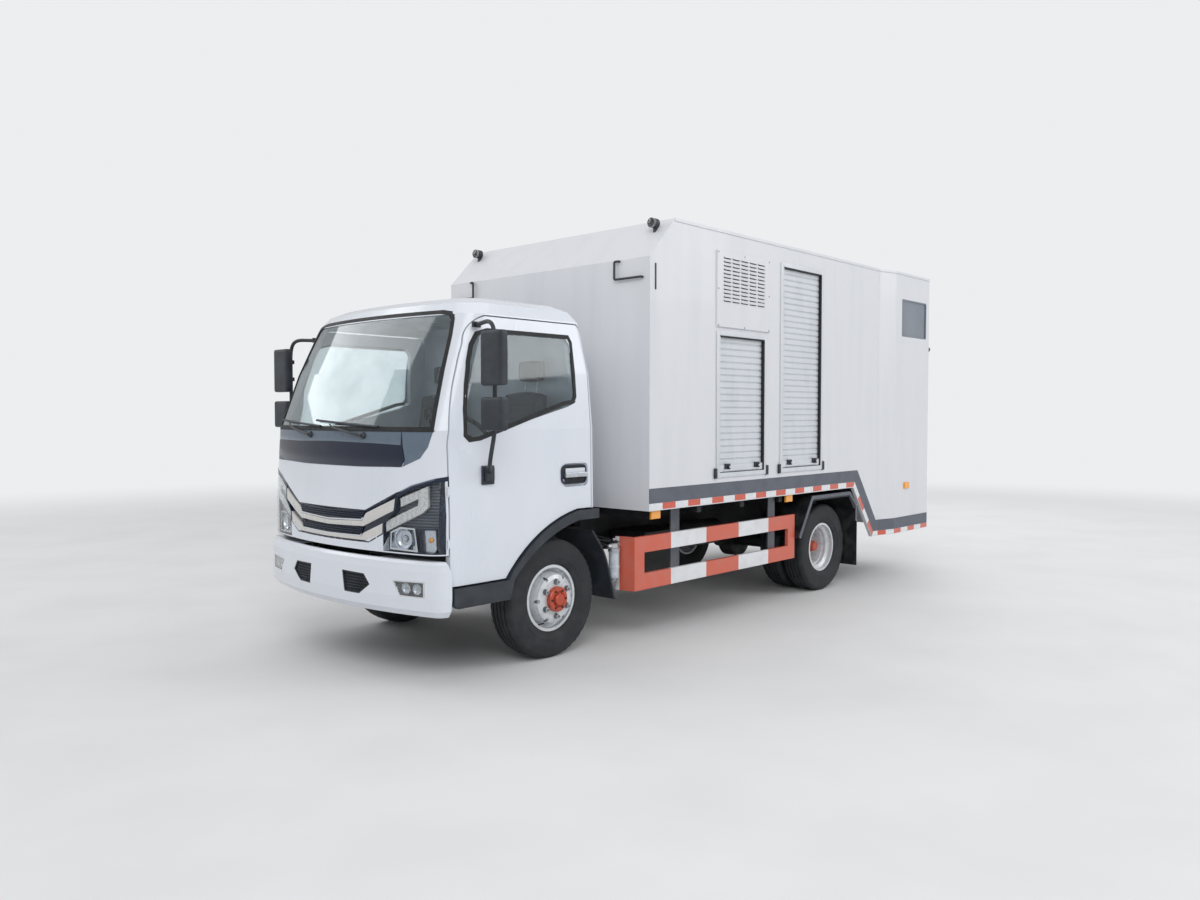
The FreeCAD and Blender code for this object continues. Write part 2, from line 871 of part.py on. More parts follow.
def exhaust():
    y = -(frame_half_width + 60 + muffler_radius)
    z = frame_top_z - 110 - muffler_radius
    x0 = muffler_x - muffler_length / 2
    can = Part.makeCylinder(muffler_radius, muffler_length, V(x0, y, z), V(1, 0, 0))
    can = can.makeFillet(25, [e for e in can.Edges if len(e.Vertexes) == 1])
    tail = rod(V(x0 + 70, y, z - 40), V(x0 + 50, y - 230, z - 110), exhaust_pipe_radius)
    under_rail_z = frame_top_z - frame_rail_height - 24 - exhaust_pipe_radius
    duct_x = muffler_x - 50
    duct_y = -(gearbox_radius + 90)
    rise_z = under_rail_z + 40
    route = [
        V(duct_x, y + 40, under_rail_z), V(duct_x, duct_y, under_rail_z), V(duct_x + 200, duct_y, rise_z),
        V(engine_x0 - seat_gap, duct_y, rise_z),
    ]
    inlet = [rod(start, end, exhaust_pipe_radius) for start, end in zip(route, route[1:])]
    inlet.extend(Part.makeSphere(exhaust_pipe_radius, corner) for corner in route[1:-1])
    inner = -(frame_half_width + seat_gap)
    straps = [box(x - 18, x + 18, inner, y, z + 40, z + 70) for x in (x0 + 130, x0 + muffler_length - 130)]
    return [fused([can, tail] + inlet + straps)]


save("exhaust", exhaust())

# Washing body
body_front_x = front_axle_x - body_front_setback
body_rear_x = tail_x + rear_panel_setback
bevel_end_x = rear_axle_x - rear_section_start
bevel_start_x = bevel_end_x + rear_bevel_length
slope_top_x = rear_axle_x - skirt_slope_start
slope_foot_x = slope_top_x - skirt_slope_run
wall_rear_x = body_rear_x + portal_depth
roof_front_x = body_front_x - body_chamfer_run
chamfer_foot_z = body_roof_z - body_chamfer_drop


def body_plan(inset):
    """Half plan of the body from the front wall to the rear portal."""
    half = body_half_width - inset
    rear_half = rear_section_half_width - inset
    return [
        (body_front_x, 0), (body_front_x, half), (bevel_start_x, half),
        (bevel_end_x, rear_half), (wall_rear_x, rear_half), (wall_rear_x, 0),
    ]


def side_outline():
    """Side view of the body between its front wall and the rear portal."""
    return [
        (body_front_x, body_floor_z), (body_front_x, chamfer_foot_z), (roof_front_x, body_roof_z),
        (wall_rear_x, body_roof_z), (wall_rear_x, skirt_bottom_z), (slope_foot_x, skirt_bottom_z),
        (slope_top_x, body_floor_z),
    ]


shutters = (
    (small_shutter_start, small_shutter_length, small_shutter_head_z),
    (large_shutter_start, large_shutter_length, large_shutter_head_z),
)


def side_wall():
    band = plan_prism(body_plan(0), skirt_bottom_z, body_roof_z)
    band = band.cut(plan_prism(body_plan(body_wall), skirt_bottom_z, body_roof_z))
    wall = band.common(side_prism(side_outline(), 1, rear_section_half_width + 1))
    inner_front = body_front_x - body_wall
    wall = wall.cut(box(inner_front, body_front_x, 0, body_half_width - body_wall, body_floor_z, body_roof_z))
    outer = body_half_width
    for start, length, head_z in shutters:
        x1 = body_front_x - start
        frame = box(x1 - length, x1, outer, outer + 8, shutter_foot_z, head_z)
        wall = fused([wall, frame])
        cut = box(x1 - length + shutter_reveal, x1 - shutter_reveal, outer - body_wall - 1, outer + 9,
                  shutter_foot_z + shutter_reveal, head_z - shutter_reveal)
        wall = wall.cut(cut)
    x1 = body_front_x - louvre_start
    wall = wall.cut(box(x1 - louvre_length + 40, x1 - 40, outer - body_wall - 1, outer + 1,
                        louvre_foot_z + 40, louvre_head_z - 40))
    x1 = body_front_x - rear_window_start
    wall = wall.cut(box(x1 - rear_window_length, x1, outer - body_wall, rear_section_half_width + 1,
                        rear_window_foot_z, rear_window_head_z))
    return wall


left_wall = side_wall()
save("body_side_left", [left_wall])
save("body_side_right", [mirrored(left_wall)])


def shutter_curtain(start, length, head_z):
    """Ribbed roller curtain seated inside its reveal."""
    x1 = body_front_x - start - shutter_reveal - seat_gap
    x0 = body_front_x - start - length + shutter_reveal + seat_gap
    z0 = shutter_foot_z + shutter_reveal + seat_gap
    z1 = head_z - shutter_reveal - seat_gap
    back = body_half_width - body_wall + 4
    face = body_half_width - 12
    count = int((z1 - z0) / slat_pitch)
    pitch = (z1 - z0) / count
    outline = [(back, z0), (back, z1)]
    for index in range(count, 0, -1):
        top = z0 + index * pitch
        outline.append((face - slat_depth, top))
        outline.append((face, top - pitch * 0.2))
        outline.append((face, top - pitch * 0.8))
    outline.append((face - slat_depth, z0))
    return front_prism(outline, x0, x1)


save("shutter_curtains", both_sides([shutter_curtain(*item) for item in shutters]))


def louvre_panel():
    x1 = body_front_x - louvre_start
    x0 = x1 - louvre_length
    y0 = body_half_width
    panel = box(x0, x1, y0, y0 + louvre_panel_thickness, louvre_foot_z, louvre_head_z)
    panel = round_edges(panel, 5, lambda e: e.CenterOfMass.y > y0 + louvre_panel_thickness - 1)
    slots = []
    mid_x = (x0 + x1) / 2
    first_x = mid_x - louvre_column_pitch * (louvre_columns - 1) / 2
    mid_z = louvre_foot_z + (louvre_head_z - louvre_foot_z) * 0.62
    first_z = mid_z - louvre_row_pitch * (louvre_rows - 1) / 2
    for column in range(louvre_columns):
        x = first_x + column * louvre_column_pitch
        for row in range(louvre_rows):
            z = first_z + row * louvre_row_pitch
            slots.append(box(x - louvre_slot_length / 2, x + louvre_slot_length / 2,
                             y0 - 1, y0 + louvre_panel_thickness + 1, z, z + louvre_slot_height))
    return panel.cut(Part.makeCompound(slots))


save("louvre_panels", both_sides([louvre_panel()]))

window_x1 = body_front_x - rear_window_start - seat_gap
window_pane = box(window_x1 - rear_window_length + 2 * seat_gap, window_x1,
                  rear_section_half_width - 10 - window_pane_thickness, rear_section_half_width - 10,
                  rear_window_foot_z + seat_gap, rear_window_head_z - seat_gap)
save("body_windows", both_sides([window_pane]))

# Front wall stands between the side walls and ends below the sloped brow
inner_half = body_half_width - body_wall
front_wall_top = chamfer_foot_z - roof_thickness
front_wall = box(body_front_x - body_wall, body_front_x, -inner_half, inner_half, body_floor_z, front_wall_top)
save("body_front_wall", [front_wall])


def body_roof():
    outline = [
        (body_front_x, front_wall_top), (body_front_x, chamfer_foot_z), (roof_front_x, body_roof_z),
        (wall_rear_x, body_roof_z), (wall_rear_x, body_roof_z - roof_thickness),
        (roof_front_x - 12, body_roof_z - roof_thickness), (body_front_x - body_wall, front_wall_top),
    ]
    sheet_solid = side_prism(outline, -rear_section_half_width, rear_section_half_width)
    plan = body_plan(body_wall)
    plan_solid = plan_prism(plan, 0, body_roof_z + 1)
    return sheet_solid.common(fused([plan_solid, mirrored(plan_solid)]))


save("body_roof", [body_roof()])


def body_floor():
    thick = body_floor_thickness
    floor_end = slope_top_x - 60
    low = rear_section_floor_z
    top = body_floor_z + thick
    outline = [
        (body_front_x - body_wall, body_floor_z), (body_front_x - body_wall, top), (floor_end, top),
        (floor_end - 110, low + thick), (wall_rear_x, low + thick), (wall_rear_x, low),
        (floor_end - 130, low), (floor_end - 20, body_floor_z),
    ]
    deck = side_prism(outline, -rear_section_half_width, rear_section_half_width)
    plan_solid = plan_prism(body_plan(body_wall), 0, body_roof_z)
    return [deck.common(fused([plan_solid, mirrored(plan_solid)]))]


save("body_floor", body_floor())

subframe_top = frame_top_z + subframe_height


def body_subframe():
    """Timber-like runners on the rails, with a step under the rear section."""
    floor_end = slope_top_x - 60
    runners = []
    rail_mid = frame_half_width - frame_rail_flange / 2
    for side in (1, -1):
        y0 = side * (rail_mid - subframe_width / 2)
        y1 = side * (rail_mid + subframe_width / 2)
        runners.append(box(floor_end - 20, body_front_x - 40, y0, y1, frame_top_z + seat_gap, subframe_top))
        runners.append(box(wall_rear_x + 40, floor_end - 180, y0, y1,
                           frame_top_z + seat_gap, rear_section_floor_z - seat_gap))
    return runners


save("body_subframe", body_subframe())


def body_bearers():
    """Cross bearers between the runners and the deck, shorter over the wheels."""
    bearers = []
    bearer_y = body_half_width - body_wall - 20
    wheel_bearer_y = body_half_width - mudguard_width - 40
    count = 6
    span = body_front_x - 80 - (slope_top_x + 40)
    for index in range(count):
        x = slope_top_x + 40 + span * index / (count - 1)
        reach = wheel_bearer_y if x < rear_axle_x + mudguard_front_reach else bearer_y
        bearers.append(box(x - 25, x + 25, -reach, reach, subframe_top + seat_gap, body_floor_z - seat_gap))
    return bearers


save("body_bearers", body_bearers())


hatch_axis_x = body_rear_x - hatch_axis_setback
hatch_axis_z = body_roof_z - portal_header - panel_gap / 2


def hatch_lugs(y):
    """Two lugs on the header with the hinge pin between them."""
    outline = [(20, 10), (20, 36), (-2, 14), (-11, 4), (-11, -6), (-4, -11), (4, -11), (9, -6)]
    points = [(hatch_axis_x + dx, hatch_axis_z + dz) for dx, dz in outline]
    inner = hatch_barrel_length / 2 + 2
    outer = inner + hatch_lug_thickness
    lugs = [side_prism(points, y + s * inner, y + s * outer) for s in (-1, 1)]
    pin = cross_rod(hatch_axis_x, hatch_axis_z, y - outer + 1, y + outer - 1, hatch_pin_radius)
    return lugs + [pin]


def rear_portal():
    half = rear_section_half_width
    ring = box(body_rear_x, wall_rear_x, -half, half, skirt_bottom_z, body_roof_z)
    opening_half = half - portal_post
    head_z = body_roof_z - portal_header
    ring = ring.cut(box(body_rear_x - 1, wall_rear_x + 1, -opening_half, opening_half, portal_sill_top_z, head_z))
    for side in (1, -1):
        lamp_y = side * (half - portal_post - 40)
        ring = ring.cut(box(body_rear_x - 1, body_rear_x + 20, lamp_y, lamp_y - side * tail_lamp_width,
                            560, 560 + tail_lamp_height))
        for z in (620 - plate_hole_spacing / 2,):
            ring = ring.cut(rod(V(body_rear_x - 1, side * plate_hole_spacing / 2, z),
                                V(body_rear_x + 20, side * plate_hole_spacing / 2, z), plate_hole_radius))
    ring = ring.cut(box(body_rear_x - 1, wall_rear_x + 1, -portal_notch_half_width, portal_notch_half_width,
                        skirt_bottom_z - 1, portal_notch_top_z))
    masts = []
    mast_x = wall_rear_x + mast_setback
    deck_z = rear_section_floor_z + body_floor_thickness
    for side in (1, -1):
        x1 = mast_x + mast_depth
        y0 = side * (mast_y - mast_width / 2)
        y1 = side * (mast_y + mast_width / 2)
        channel = box(mast_x, x1, y0, y1, deck_z + seat_gap, body_roof_z - roof_thickness - seat_gap)
        hollow = box(mast_x + mast_wall, x1 - mast_wall, y0 - side, y1 - side * mast_wall,
                     rear_section_floor_z, body_roof_z)
        masts.append(channel.cut(hollow))
        rod_x = mast_x + mast_depth / 2
        top_z = body_roof_z - roof_thickness - seat_gap
        masts.append(rod(V(rod_x, side * mast_y, deck_z + 4), V(rod_x, side * mast_y, top_z - 4), guide_rod_radius))
        for low, high in ((deck_z + seat_gap, deck_z + 20), (top_z - 20, top_z)):
            masts.append(box(mast_x + 1, x1 - 1, y0 + side, y1 - side, low, high))
    lintel = box(wall_rear_x, mast_x + mast_depth, -mast_y, mast_y, head_z + 10,
                 body_roof_z - roof_thickness - seat_gap)
    for y in hatch_hinge_y:
        masts.extend(hatch_lugs(y))
    return [fused([ring, lintel] + masts)]


save("rear_portal", rear_portal())


def rear_hatch():
    half = rear_section_half_width - portal_post - panel_gap
    z0 = portal_sill_top_z + panel_gap
    z1 = body_roof_z - portal_header - panel_gap
    x0 = body_rear_x
    leaf = box(x0, x0 + hatch_thickness, -half, half, z0, z1)
    leaf = round_edges(leaf, 14, lambda e: runs_along(e, V(1, 0, 0)))
    rib = []
    height = (z1 - z0 - 200) / 2
    for index in range(2):
        low = z0 + 80 + index * (height + 40)
        rib.append(box(x0 - 1, x0 + 10, -half + 90, half - 90, low, low + height))
    for panel in rib:
        leaf = leaf.cut(panel)
    bar = cross_rod(x0 - 18, z0 + 60, -200, 200, 9)
    stays = [rod(V(x0 + 2, y, z0 + 60), V(x0 - 18, y, z0 + 60), 8) for y in (-190, 190)]
    hinges = []
    for y in hatch_hinge_y:
        y0 = y - hatch_barrel_length / 2
        y1 = y + hatch_barrel_length / 2
        barrel = cross_rod(hatch_axis_x, hatch_axis_z, y0, y1, hatch_barrel_radius)
        strap = box(x0 - 9, x0 + 1, y0, y1, hatch_axis_z - 90, hatch_axis_z)
        bore = cross_rod(hatch_axis_x, hatch_axis_z, y0 - 1, y1 + 1, hatch_pin_radius + run_gap)
        hinges.append(fused([barrel, strap]).cut(bore))
    return [fused([leaf, bar] + stays + hinges)]


save("rear_hatch", rear_hatch())


def lift_carriage():
    """Bin lift plate with its comb, riding in the two mast channels."""
    mast_x = wall_rear_x + mast_setback
    x1 = mast_x - 6
    half = carriage_width / 2
    z0 = carriage_rest_z
    plate = box(x1 - carriage_plate, x1, -half, half, z0, z0 + carriage_height)
    solids = [plate]
    pitch = carriage_width / comb_teeth
    for index in range(comb_teeth):
        y = -half + pitch * (index + 0.5)
        tooth_x0 = x1 - carriage_plate - 6
        solids.append(front_prism(
            [(y - comb_tooth_width / 2, z0 + carriage_height - 60), (y + comb_tooth_width / 2, z0 + carriage_height - 60),
             (y + comb_tooth_width / 4, z0 + carriage_height), (y - comb_tooth_width / 4, z0 + carriage_height)],
            tooth_x0 - 2, x1,
        ))
    shoe_x0 = mast_x + mast_wall + guide_gap
    shoe_x1 = mast_x + mast_depth - mast_wall - guide_gap
    inner_y = mast_y - mast_width / 2 - guide_gap
    for side in (1, -1):
        cheek = box(x1 - 1, shoe_x1, side * (inner_y - carriage_plate), side * inner_y, z0, z0 + carriage_height)
        shoe = box(shoe_x0, shoe_x1, side * (inner_y - 1), side * (mast_y + mast_width / 2 - mast_wall - guide_gap),
                   z0, z0 + carriage_height)
        bore = Part.makeCylinder(guide_rod_radius + run_gap, carriage_height + 2,
                                 V(mast_x + mast_depth / 2, side * mast_y, z0 - 1))
        solids.append(fused([cheek, shoe]).cut(bore))
    return solids


save("lift_carriage", [fused(lift_carriage())])


# Side guards with their posts
def side_guard():
    x1 = front_axle_x - guard_front_setback
    x0 = x1 - guard_length
    z0 = guard_bottom_z
    z1 = z0 + guard_height
    bar = box(x0, x1, guard_y - guard_bar_depth, guard_y, z0, z1)
    slot = box(x0 + guard_slot_inset, x1 - guard_slot_inset, guard_y - guard_bar_depth - 1, guard_y + 1,
               z0 + guard_band, z1 - guard_band)
    bar = bar.cut(slot)
    flange = plan_prism(
        [(x1, guard_y), (x1 + 30, guard_y - guard_flange), (x1 + 30 - 24, guard_y - guard_flange),
         (x1 - 24, guard_y - guard_bar_depth)], z0, z1,
    )
    solids = [fused([bar, flange])]
    post_top = body_floor_z - seat_gap
    for setback in guard_post_setbacks:
        x = x1 - setback
        y1 = guard_y - guard_bar_depth
        post = box(x - guard_post_width, x, y1 - guard_post_depth, y1, z0 + 20, post_top)
        foot = box(x - guard_post_width, x, y1 - 120, y1, post_top - 10, post_top)
        solids.append(fused([post, foot]))
    return solids


save("side_guards", both_sides(side_guard()))


def rear_mudguard():
    """Angular mudguard over the twin wheels with a hanging flap behind."""
    x = rear_axle_x
    top_z = body_floor_z - 34
    y1 = body_half_width - 9
    y0 = y1 - mudguard_width
    t = mudguard_sheet
    flap_x = x - mudflap_reach
    outline = [
        (x + mudguard_front_reach, mudguard_front_foot_z), (x + mudguard_top_reach, top_z),
        (x - mudguard_rear_reach, top_z), (flap_x, top_z - mudguard_drop), (flap_x, mudflap_foot_z),
        (flap_x + t, mudflap_foot_z), (flap_x + t, top_z - mudguard_drop - 2),
        (x - mudguard_rear_reach, top_z - t), (x + mudguard_top_reach - 3, top_z - t),
        (x + mudguard_front_reach - t, mudguard_front_foot_z),
    ]
    skin = side_prism(outline, y0, y1)
    lip = [
        (x + mudguard_front_reach, mudguard_front_foot_z), (x + mudguard_top_reach, top_z),
        (x - mudguard_rear_reach, top_z), (flap_x, top_z - mudguard_drop),
        (flap_x + 60, top_z - mudguard_drop - 34), (x - mudguard_rear_reach + 18, top_z - 42),
        (x + mudguard_top_reach - 26, top_z - 42), (x + mudguard_front_reach - 48, mudguard_front_foot_z),
    ]
    edge = side_prism(lip, y1 - 6, y1)
    hangers = [box(x + dx - 30, x + dx + 30, y0 + 60, y0 + 90, top_z - 1, body_floor_z - seat_gap)
               for dx in (-mudguard_rear_reach + 60, mudguard_top_reach - 60)]
    return fused([skin, edge] + hangers)


save("rear_mudguards", both_sides([rear_mudguard()]))


def marker(x, y, z):
    lamp = box(x - marker_length / 2, x + marker_length / 2, y, y + marker_depth, z, z + marker_height)
    return round_edges(lamp, 5, lambda e: e.CenterOfMass.y > y + marker_depth - 1)


markers = []
for setback in marker_setbacks:
    marker_x = body_front_x - setback
    markers.append(marker(marker_x, body_half_width - 2 * marker_depth, body_floor_z - marker_height))
markers.append(marker(body_rear_x + rear_marker_reach, rear_section_half_width, rear_marker_z - marker_height / 2))
save("side_markers", both_sides(markers))


def work_lamps():
    lamp_x = body_front_x - work_lamp_setback
    slope_z = chamfer_foot_z + body_chamfer_drop * work_lamp_setback / body_chamfer_run
    lens_z = slope_z + work_lamp_stand
    x0 = lamp_x - work_lamp_length / 6
    solids = []
    for y in (work_lamp_y, -work_lamp_y):
        foot = box(lamp_x - 14, lamp_x + 14, y - 10, y + 10, slope_z - 40, lens_z)
        foot = foot.cut(side_prism(
            [(body_front_x, chamfer_foot_z + seat_gap), (roof_front_x, body_roof_z + seat_gap), (roof_front_x, 0),
             (body_front_x, 0)], y - 50, y + 50))
        drum = rod(V(x0, y, lens_z), V(x0 + work_lamp_length, y, lens_z), work_lamp_radius)
        solids.append(fused([foot, drum]))
    return solids


save("work_lamps", work_lamps())


def tail_lamps():
    solids = []
    for side in (1, -1):
        y = side * (rear_section_half_width - portal_post - 40 - seat_gap)
        far = y - side * (tail_lamp_width - 2 * seat_gap)
        solids.append(box(body_rear_x - 12, body_rear_x + 20, y, far, 560 + seat_gap, 560 + tail_lamp_height - seat_gap))
    return solids


save("tail_lamps", tail_lamps())

lamp_z = 2240
lamp_y = rear_section_half_width - 40
rear_camera = rod(V(tail_x, lamp_y, lamp_z), V(body_rear_x, lamp_y, lamp_z), 26)
save("rear_work_lamps", both_sides([rear_camera]))


# Cab shell
cab_nose_x = nose_x - cab_nose_setback
cab_rear_x = front_axle_x - cab_rear_setback


def cab_section(z, setback, half_width, rear_setback, inset, grow=0):
    """Level outline of the cab: bowed nose, straight flanks, square back."""
    bow = cab_bow_radius - inset
    corner = cab_corner_radius - inset
    half = half_width - inset
    front = cab_nose_x - setback - inset
    rear = cab_rear_x + rear_setback + inset
    back_corner = cab_back_corner_radius - inset / 2
    centre_x = front - bow
    corner_y = half - corner
    corner_x = centre_x + math.sqrt((bow - corner) ** 2 - corner_y ** 2)
    ratio = bow / (bow - corner)
    tangent = V(centre_x + (corner_x - centre_x) * ratio, corner_y * ratio, z)
    lean = math.atan2(corner_y, corner_x - centre_x)
    middle = (lean + math.pi / 2) / 2
    corner_mid = V(corner_x + corner * math.cos(middle), corner_y + corner * math.sin(middle), z)
    flank_front = V(corner_x, half, z)
    back_bend = back_corner * (1 - math.sqrt(0.5))
    points = {
        "flank_rear": V(rear + back_corner, half, z),
        "back_mid": V(rear + back_bend, half - back_bend, z),
        "back_end": V(rear, half - back_corner, z),
    }

    def flip(p):
        return V(p.x, -p.y, p.z)

    edges = [
        Part.Arc(flip(tangent), V(front, 0, z), tangent).toShape(),
        Part.Arc(tangent, corner_mid, flank_front).toShape(),
        Part.makeLine(flank_front, points["flank_rear"]),
        Part.Arc(points["flank_rear"], points["back_mid"], points["back_end"]).toShape(),
        Part.makeLine(points["back_end"], flip(points["back_end"])),
        Part.Arc(flip(points["back_end"]), flip(points["back_mid"]), flip(points["flank_rear"])).toShape(),
        Part.makeLine(flip(points["flank_rear"]), flip(flank_front)),
        Part.Arc(flip(flank_front), flip(corner_mid), flip(tangent)).toShape(),
    ]
    return Part.Wire(edges)


def cab_form(inset):
    """Whole cab as one solid, drawn in by inset on every face but the foot."""
    drop = inset if inset else 0
    sections = [
        cab_section(sill_foot_z, chin_setback, cab_half_width, 0, inset),
        cab_section(brow_z, 0, cab_half_width, 0, inset),
        cab_section(belt_z, belt_setback, waist_half_width, 2, inset),
        cab_section(mid_glass_z, mid_glass_setback, mid_glass_half_width, 8, inset),
        cab_section(header_z - drop * 0.3, header_setback, header_half_width, header_rear_setback, inset),
        cab_section(roof_rim_z - drop * 0.7, roof_rim_setback, roof_rim_half_width, roof_rim_rear_setback, inset),
        cab_section(roof_top_z - drop, roof_top_setback, roof_top_half_width, roof_top_rear_setback, inset),
    ]
    return Part.makeLoft(sections, True, True)


cab_outer = cab_form(0)
cab_inner = cab_form(cab_wall)
cab_shell = cab_outer.cut(cab_inner)

door_front_x = cab_nose_x - door_front_setback
door_rear_x = cab_rear_x + door_rear_inset
door_foot_rear_x = door_front_x - door_foot_length
arch_rear_x = front_axle_x - arch_rear_setback


def door_outline(gap):
    """Side view of a door, drawn out by gap on every edge."""
    front = door_front_x + gap
    rear = door_rear_x - gap
    top = door_top_z + gap
    foot = cab_skirt_z - gap
    crown = arch_crown_z - gap
    foot_rear = V(door_foot_rear_x - gap, 0, foot)
    arch_mid = V((door_foot_rear_x + arch_rear_x) / 2 - 30, 0, (cab_skirt_z + arch_crown_z) / 2 + 95 - gap)
    break_point = V(front, 0, door_break_z)
    middle = V(cab_nose_x - door_mid_front_setback + gap, 0, door_mid_z)
    shoulder = V(cab_nose_x - door_shoulder_front_setback + gap, 0, door_shoulder_z)
    brow_mid = V(cab_nose_x - door_shoulder_front_setback - 65 + gap, 0, door_shoulder_z + 118)
    brow = V(cab_nose_x - door_top_front_setback, 0, top)
    heel = [V(rear + 70, 0, top), V(rear + 36, 0, top - 26), V(rear + 12, 0, top - 90)]
    edges = [
        Part.makeLine(foot_rear, V(front, 0, foot)),
        Part.makeLine(V(front, 0, foot), break_point),
        Part.Arc(break_point, middle, shoulder).toShape(),
        Part.Arc(shoulder, brow_mid, brow).toShape(),
        Part.makeLine(brow, heel[0]),
        Part.Arc(*heel).toShape(),
        Part.makeLine(heel[2], V(rear, 0, 1850)),
        Part.makeLine(V(rear, 0, 1850), V(rear, 0, crown)),
        Part.makeLine(V(rear, 0, crown), V(arch_rear_x, 0, crown)),
        Part.Arc(V(arch_rear_x, 0, crown), arch_mid, foot_rear).toShape(),
    ]
    return Part.Wire(edges)


def swept_across(wire, y0, y1):
    face = Part.Face(wire)
    face.translate(V(0, y0, 0))
    return face.extrude(V(0, y1 - y0, 0))


def door_window_outline(gap):
    front = cab_nose_x - door_window_front_setback + gap
    rear = door_rear_x + door_window_rear_inset - gap
    top = door_window_top_z + gap
    foot = door_window_foot_front_z - gap
    return [
        (front - 44, foot), (front - 14, foot + 10), (front, foot + 42),
        (cab_nose_x - door_window_mid_front_setback + gap, door_window_mid_z),
        (cab_nose_x - door_window_corner_front_setback + gap, door_window_corner_z),
        (cab_nose_x - door_window_corner_front_setback - 42 + gap, top - 26),
        (cab_nose_x - door_window_top_front_setback, top), (rear + 60, top), (rear + 20, top - 50),
        (rear, door_window_foot_rear_z - gap),
        (cab_nose_x - door_window_break_setback, door_window_foot_rear_z - 30 - gap),
    ]


far_y = cab_half_width + 60
near_y = cab_half_width - 320


def flank_zone(depth):
    """All that lies outward of a surface depth under the left flank."""
    levels = [(cab_half_width, sill_foot_z), (cab_half_width, brow_z), (waist_half_width, belt_z),
              (mid_glass_half_width, mid_glass_z), (header_half_width, header_z)]
    inner = [(half - depth, z) for half, z in levels]
    return front_prism(inner + [(far_y, header_z), (far_y, sill_foot_z)], cab_rear_x - 10, cab_nose_x)


door_zone = swept_across(door_outline(-panel_gap / 2), near_y, far_y).common(flank_zone(cab_wall + 1))
door_cut = swept_across(door_outline(panel_gap / 2), near_y, far_y).common(flank_zone(door_cut_depth))
swing_relief = swept_across(door_outline(panel_gap / 2 + door_swing_relief), near_y, far_y)
swing_relief = swing_relief.common(flank_zone(door_cut_depth)).cut(flank_zone(door_skin_depth))
swing_relief = swing_relief.common(box(cab_rear_x, door_rear_x + 60, 0, far_y, arch_crown_z, header_z - 12))
door_cuts = [door_cut, mirrored(door_cut), swing_relief, mirrored(swing_relief)]
window_cut = side_prism(door_window_outline(0), near_y, far_y)


hinge_x = door_front_x + panel_gap / 2
hinge_y = cab_half_width - door_hinge_inset


def upright_rod(z, radius, length):
    """Round bar on the door's hinge line, its middle at z."""
    return Part.makeCylinder(radius, length, V(hinge_x, hinge_y, z - length / 2))


def door_barrels():
    """Hinge barrels on the door's front edge."""
    barrels = []
    for z in door_hinge_heights:
        half = door_hinge_barrel_length / 2
        barrel = upright_rod(z, door_hinge_barrel_radius, door_hinge_barrel_length)
        web = box(hinge_x - 15, hinge_x, hinge_y - 10, hinge_y + 4, z - half, z + half)
        bore = upright_rod(z, door_hinge_pin_radius + run_gap, door_hinge_barrel_length + 2)
        barrels.append(fused([barrel, web]).cut(bore))
    return barrels


def door_pins():
    """Hinge pins with the tabs that carry them on the nose panel."""
    pins = []
    half = door_hinge_barrel_length / 2 + 1
    for z in door_hinge_heights:
        pins.append(upright_rod(z, door_hinge_pin_radius, 2 * (half + door_hinge_tab_height)))
        for foot in (z - half - door_hinge_tab_height, z + half):
            pins.append(box(hinge_x, hinge_x + 10, hinge_y - 8, hinge_y + 4, foot, foot + door_hinge_tab_height))
    return pins


def hinge_pockets():
    """Room for the turning barrels in the nose panel's edge."""
    radius = door_hinge_barrel_radius + door_hinge_clearance
    return [upright_rod(z, radius, door_hinge_barrel_length + 2) for z in door_hinge_heights]


def door():
    leaf = cab_shell.common(door_zone).cut(window_cut)
    x1 = cab_nose_x - handle_setback
    recess = box(x1 - handle_length, x1, cab_half_width - 18, far_y,
                 handle_z - handle_height / 2, handle_z + handle_height / 2)
    recess = round_edges(recess, 30, lambda e: runs_along(e, V(0, 1, 0)))
    bar = box(x1 - handle_length + 20, x1 - 20, cab_half_width - 20, cab_half_width + 2, handle_z + 8, handle_z + 44)
    return fused([leaf.cut(recess), bar] + door_barrels())


def thin_glass():
    """Glass skin set just under the outside face of the cab."""
    return cab_form(glass_inset).cut(cab_form(glass_inset + glass_thickness))


glass_skin = thin_glass()
door_solid = door()
glass_solid = glass_skin.common(side_prism(door_window_outline(-seat_gap), near_y, far_y))
save("door_left", [door_solid])
save("door_right", [mirrored(door_solid)])
save("door_glass_left", [glass_solid])
save("door_glass_right", [mirrored(glass_solid)])

# Panels of the cab around the doors
split_front_x = door_front_x + panel_gap / 2
screen_zone = front_prism(
    [(-windscreen_foot_half_width, belt_z), (windscreen_foot_half_width, belt_z),
     (windscreen_head_half_width, windscreen_head_z), (-windscreen_head_half_width, windscreen_head_z)],
    cab_nose_x - roof_top_setback, cab_nose_x + 50,
)
screen_pane = front_prism(
    [(-windscreen_foot_half_width + seat_gap, belt_z + seat_gap),
     (windscreen_foot_half_width - seat_gap, belt_z + seat_gap),
     (windscreen_head_half_width - seat_gap, windscreen_head_z - seat_gap),
     (-windscreen_head_half_width + seat_gap, windscreen_head_z - seat_gap)],
    cab_nose_x - roof_top_setback, cab_nose_x + 50,
)
back_hole = box(cab_rear_x - 10, cab_rear_x + 200, -back_window_half_width, back_window_half_width,
                back_window_foot_z, back_window_foot_z + back_window_height)
back_pane = box(cab_rear_x - 10, cab_rear_x + 200,
                -back_window_half_width + seat_gap, back_window_half_width - seat_gap,
                back_window_foot_z + seat_gap, back_window_foot_z + back_window_height - seat_gap)
save("cab_glass", [glass_skin.common(screen_pane), glass_skin.common(back_pane)])

roof_split_z = header_z
wide = 2 * cab_half_width
above = box(cab_rear_x - 10, cab_nose_x + 10, -wide, wide, roof_split_z, roof_top_z + 10)
cab_roof = cab_shell.common(above)
save("cab_roof", [cab_roof])

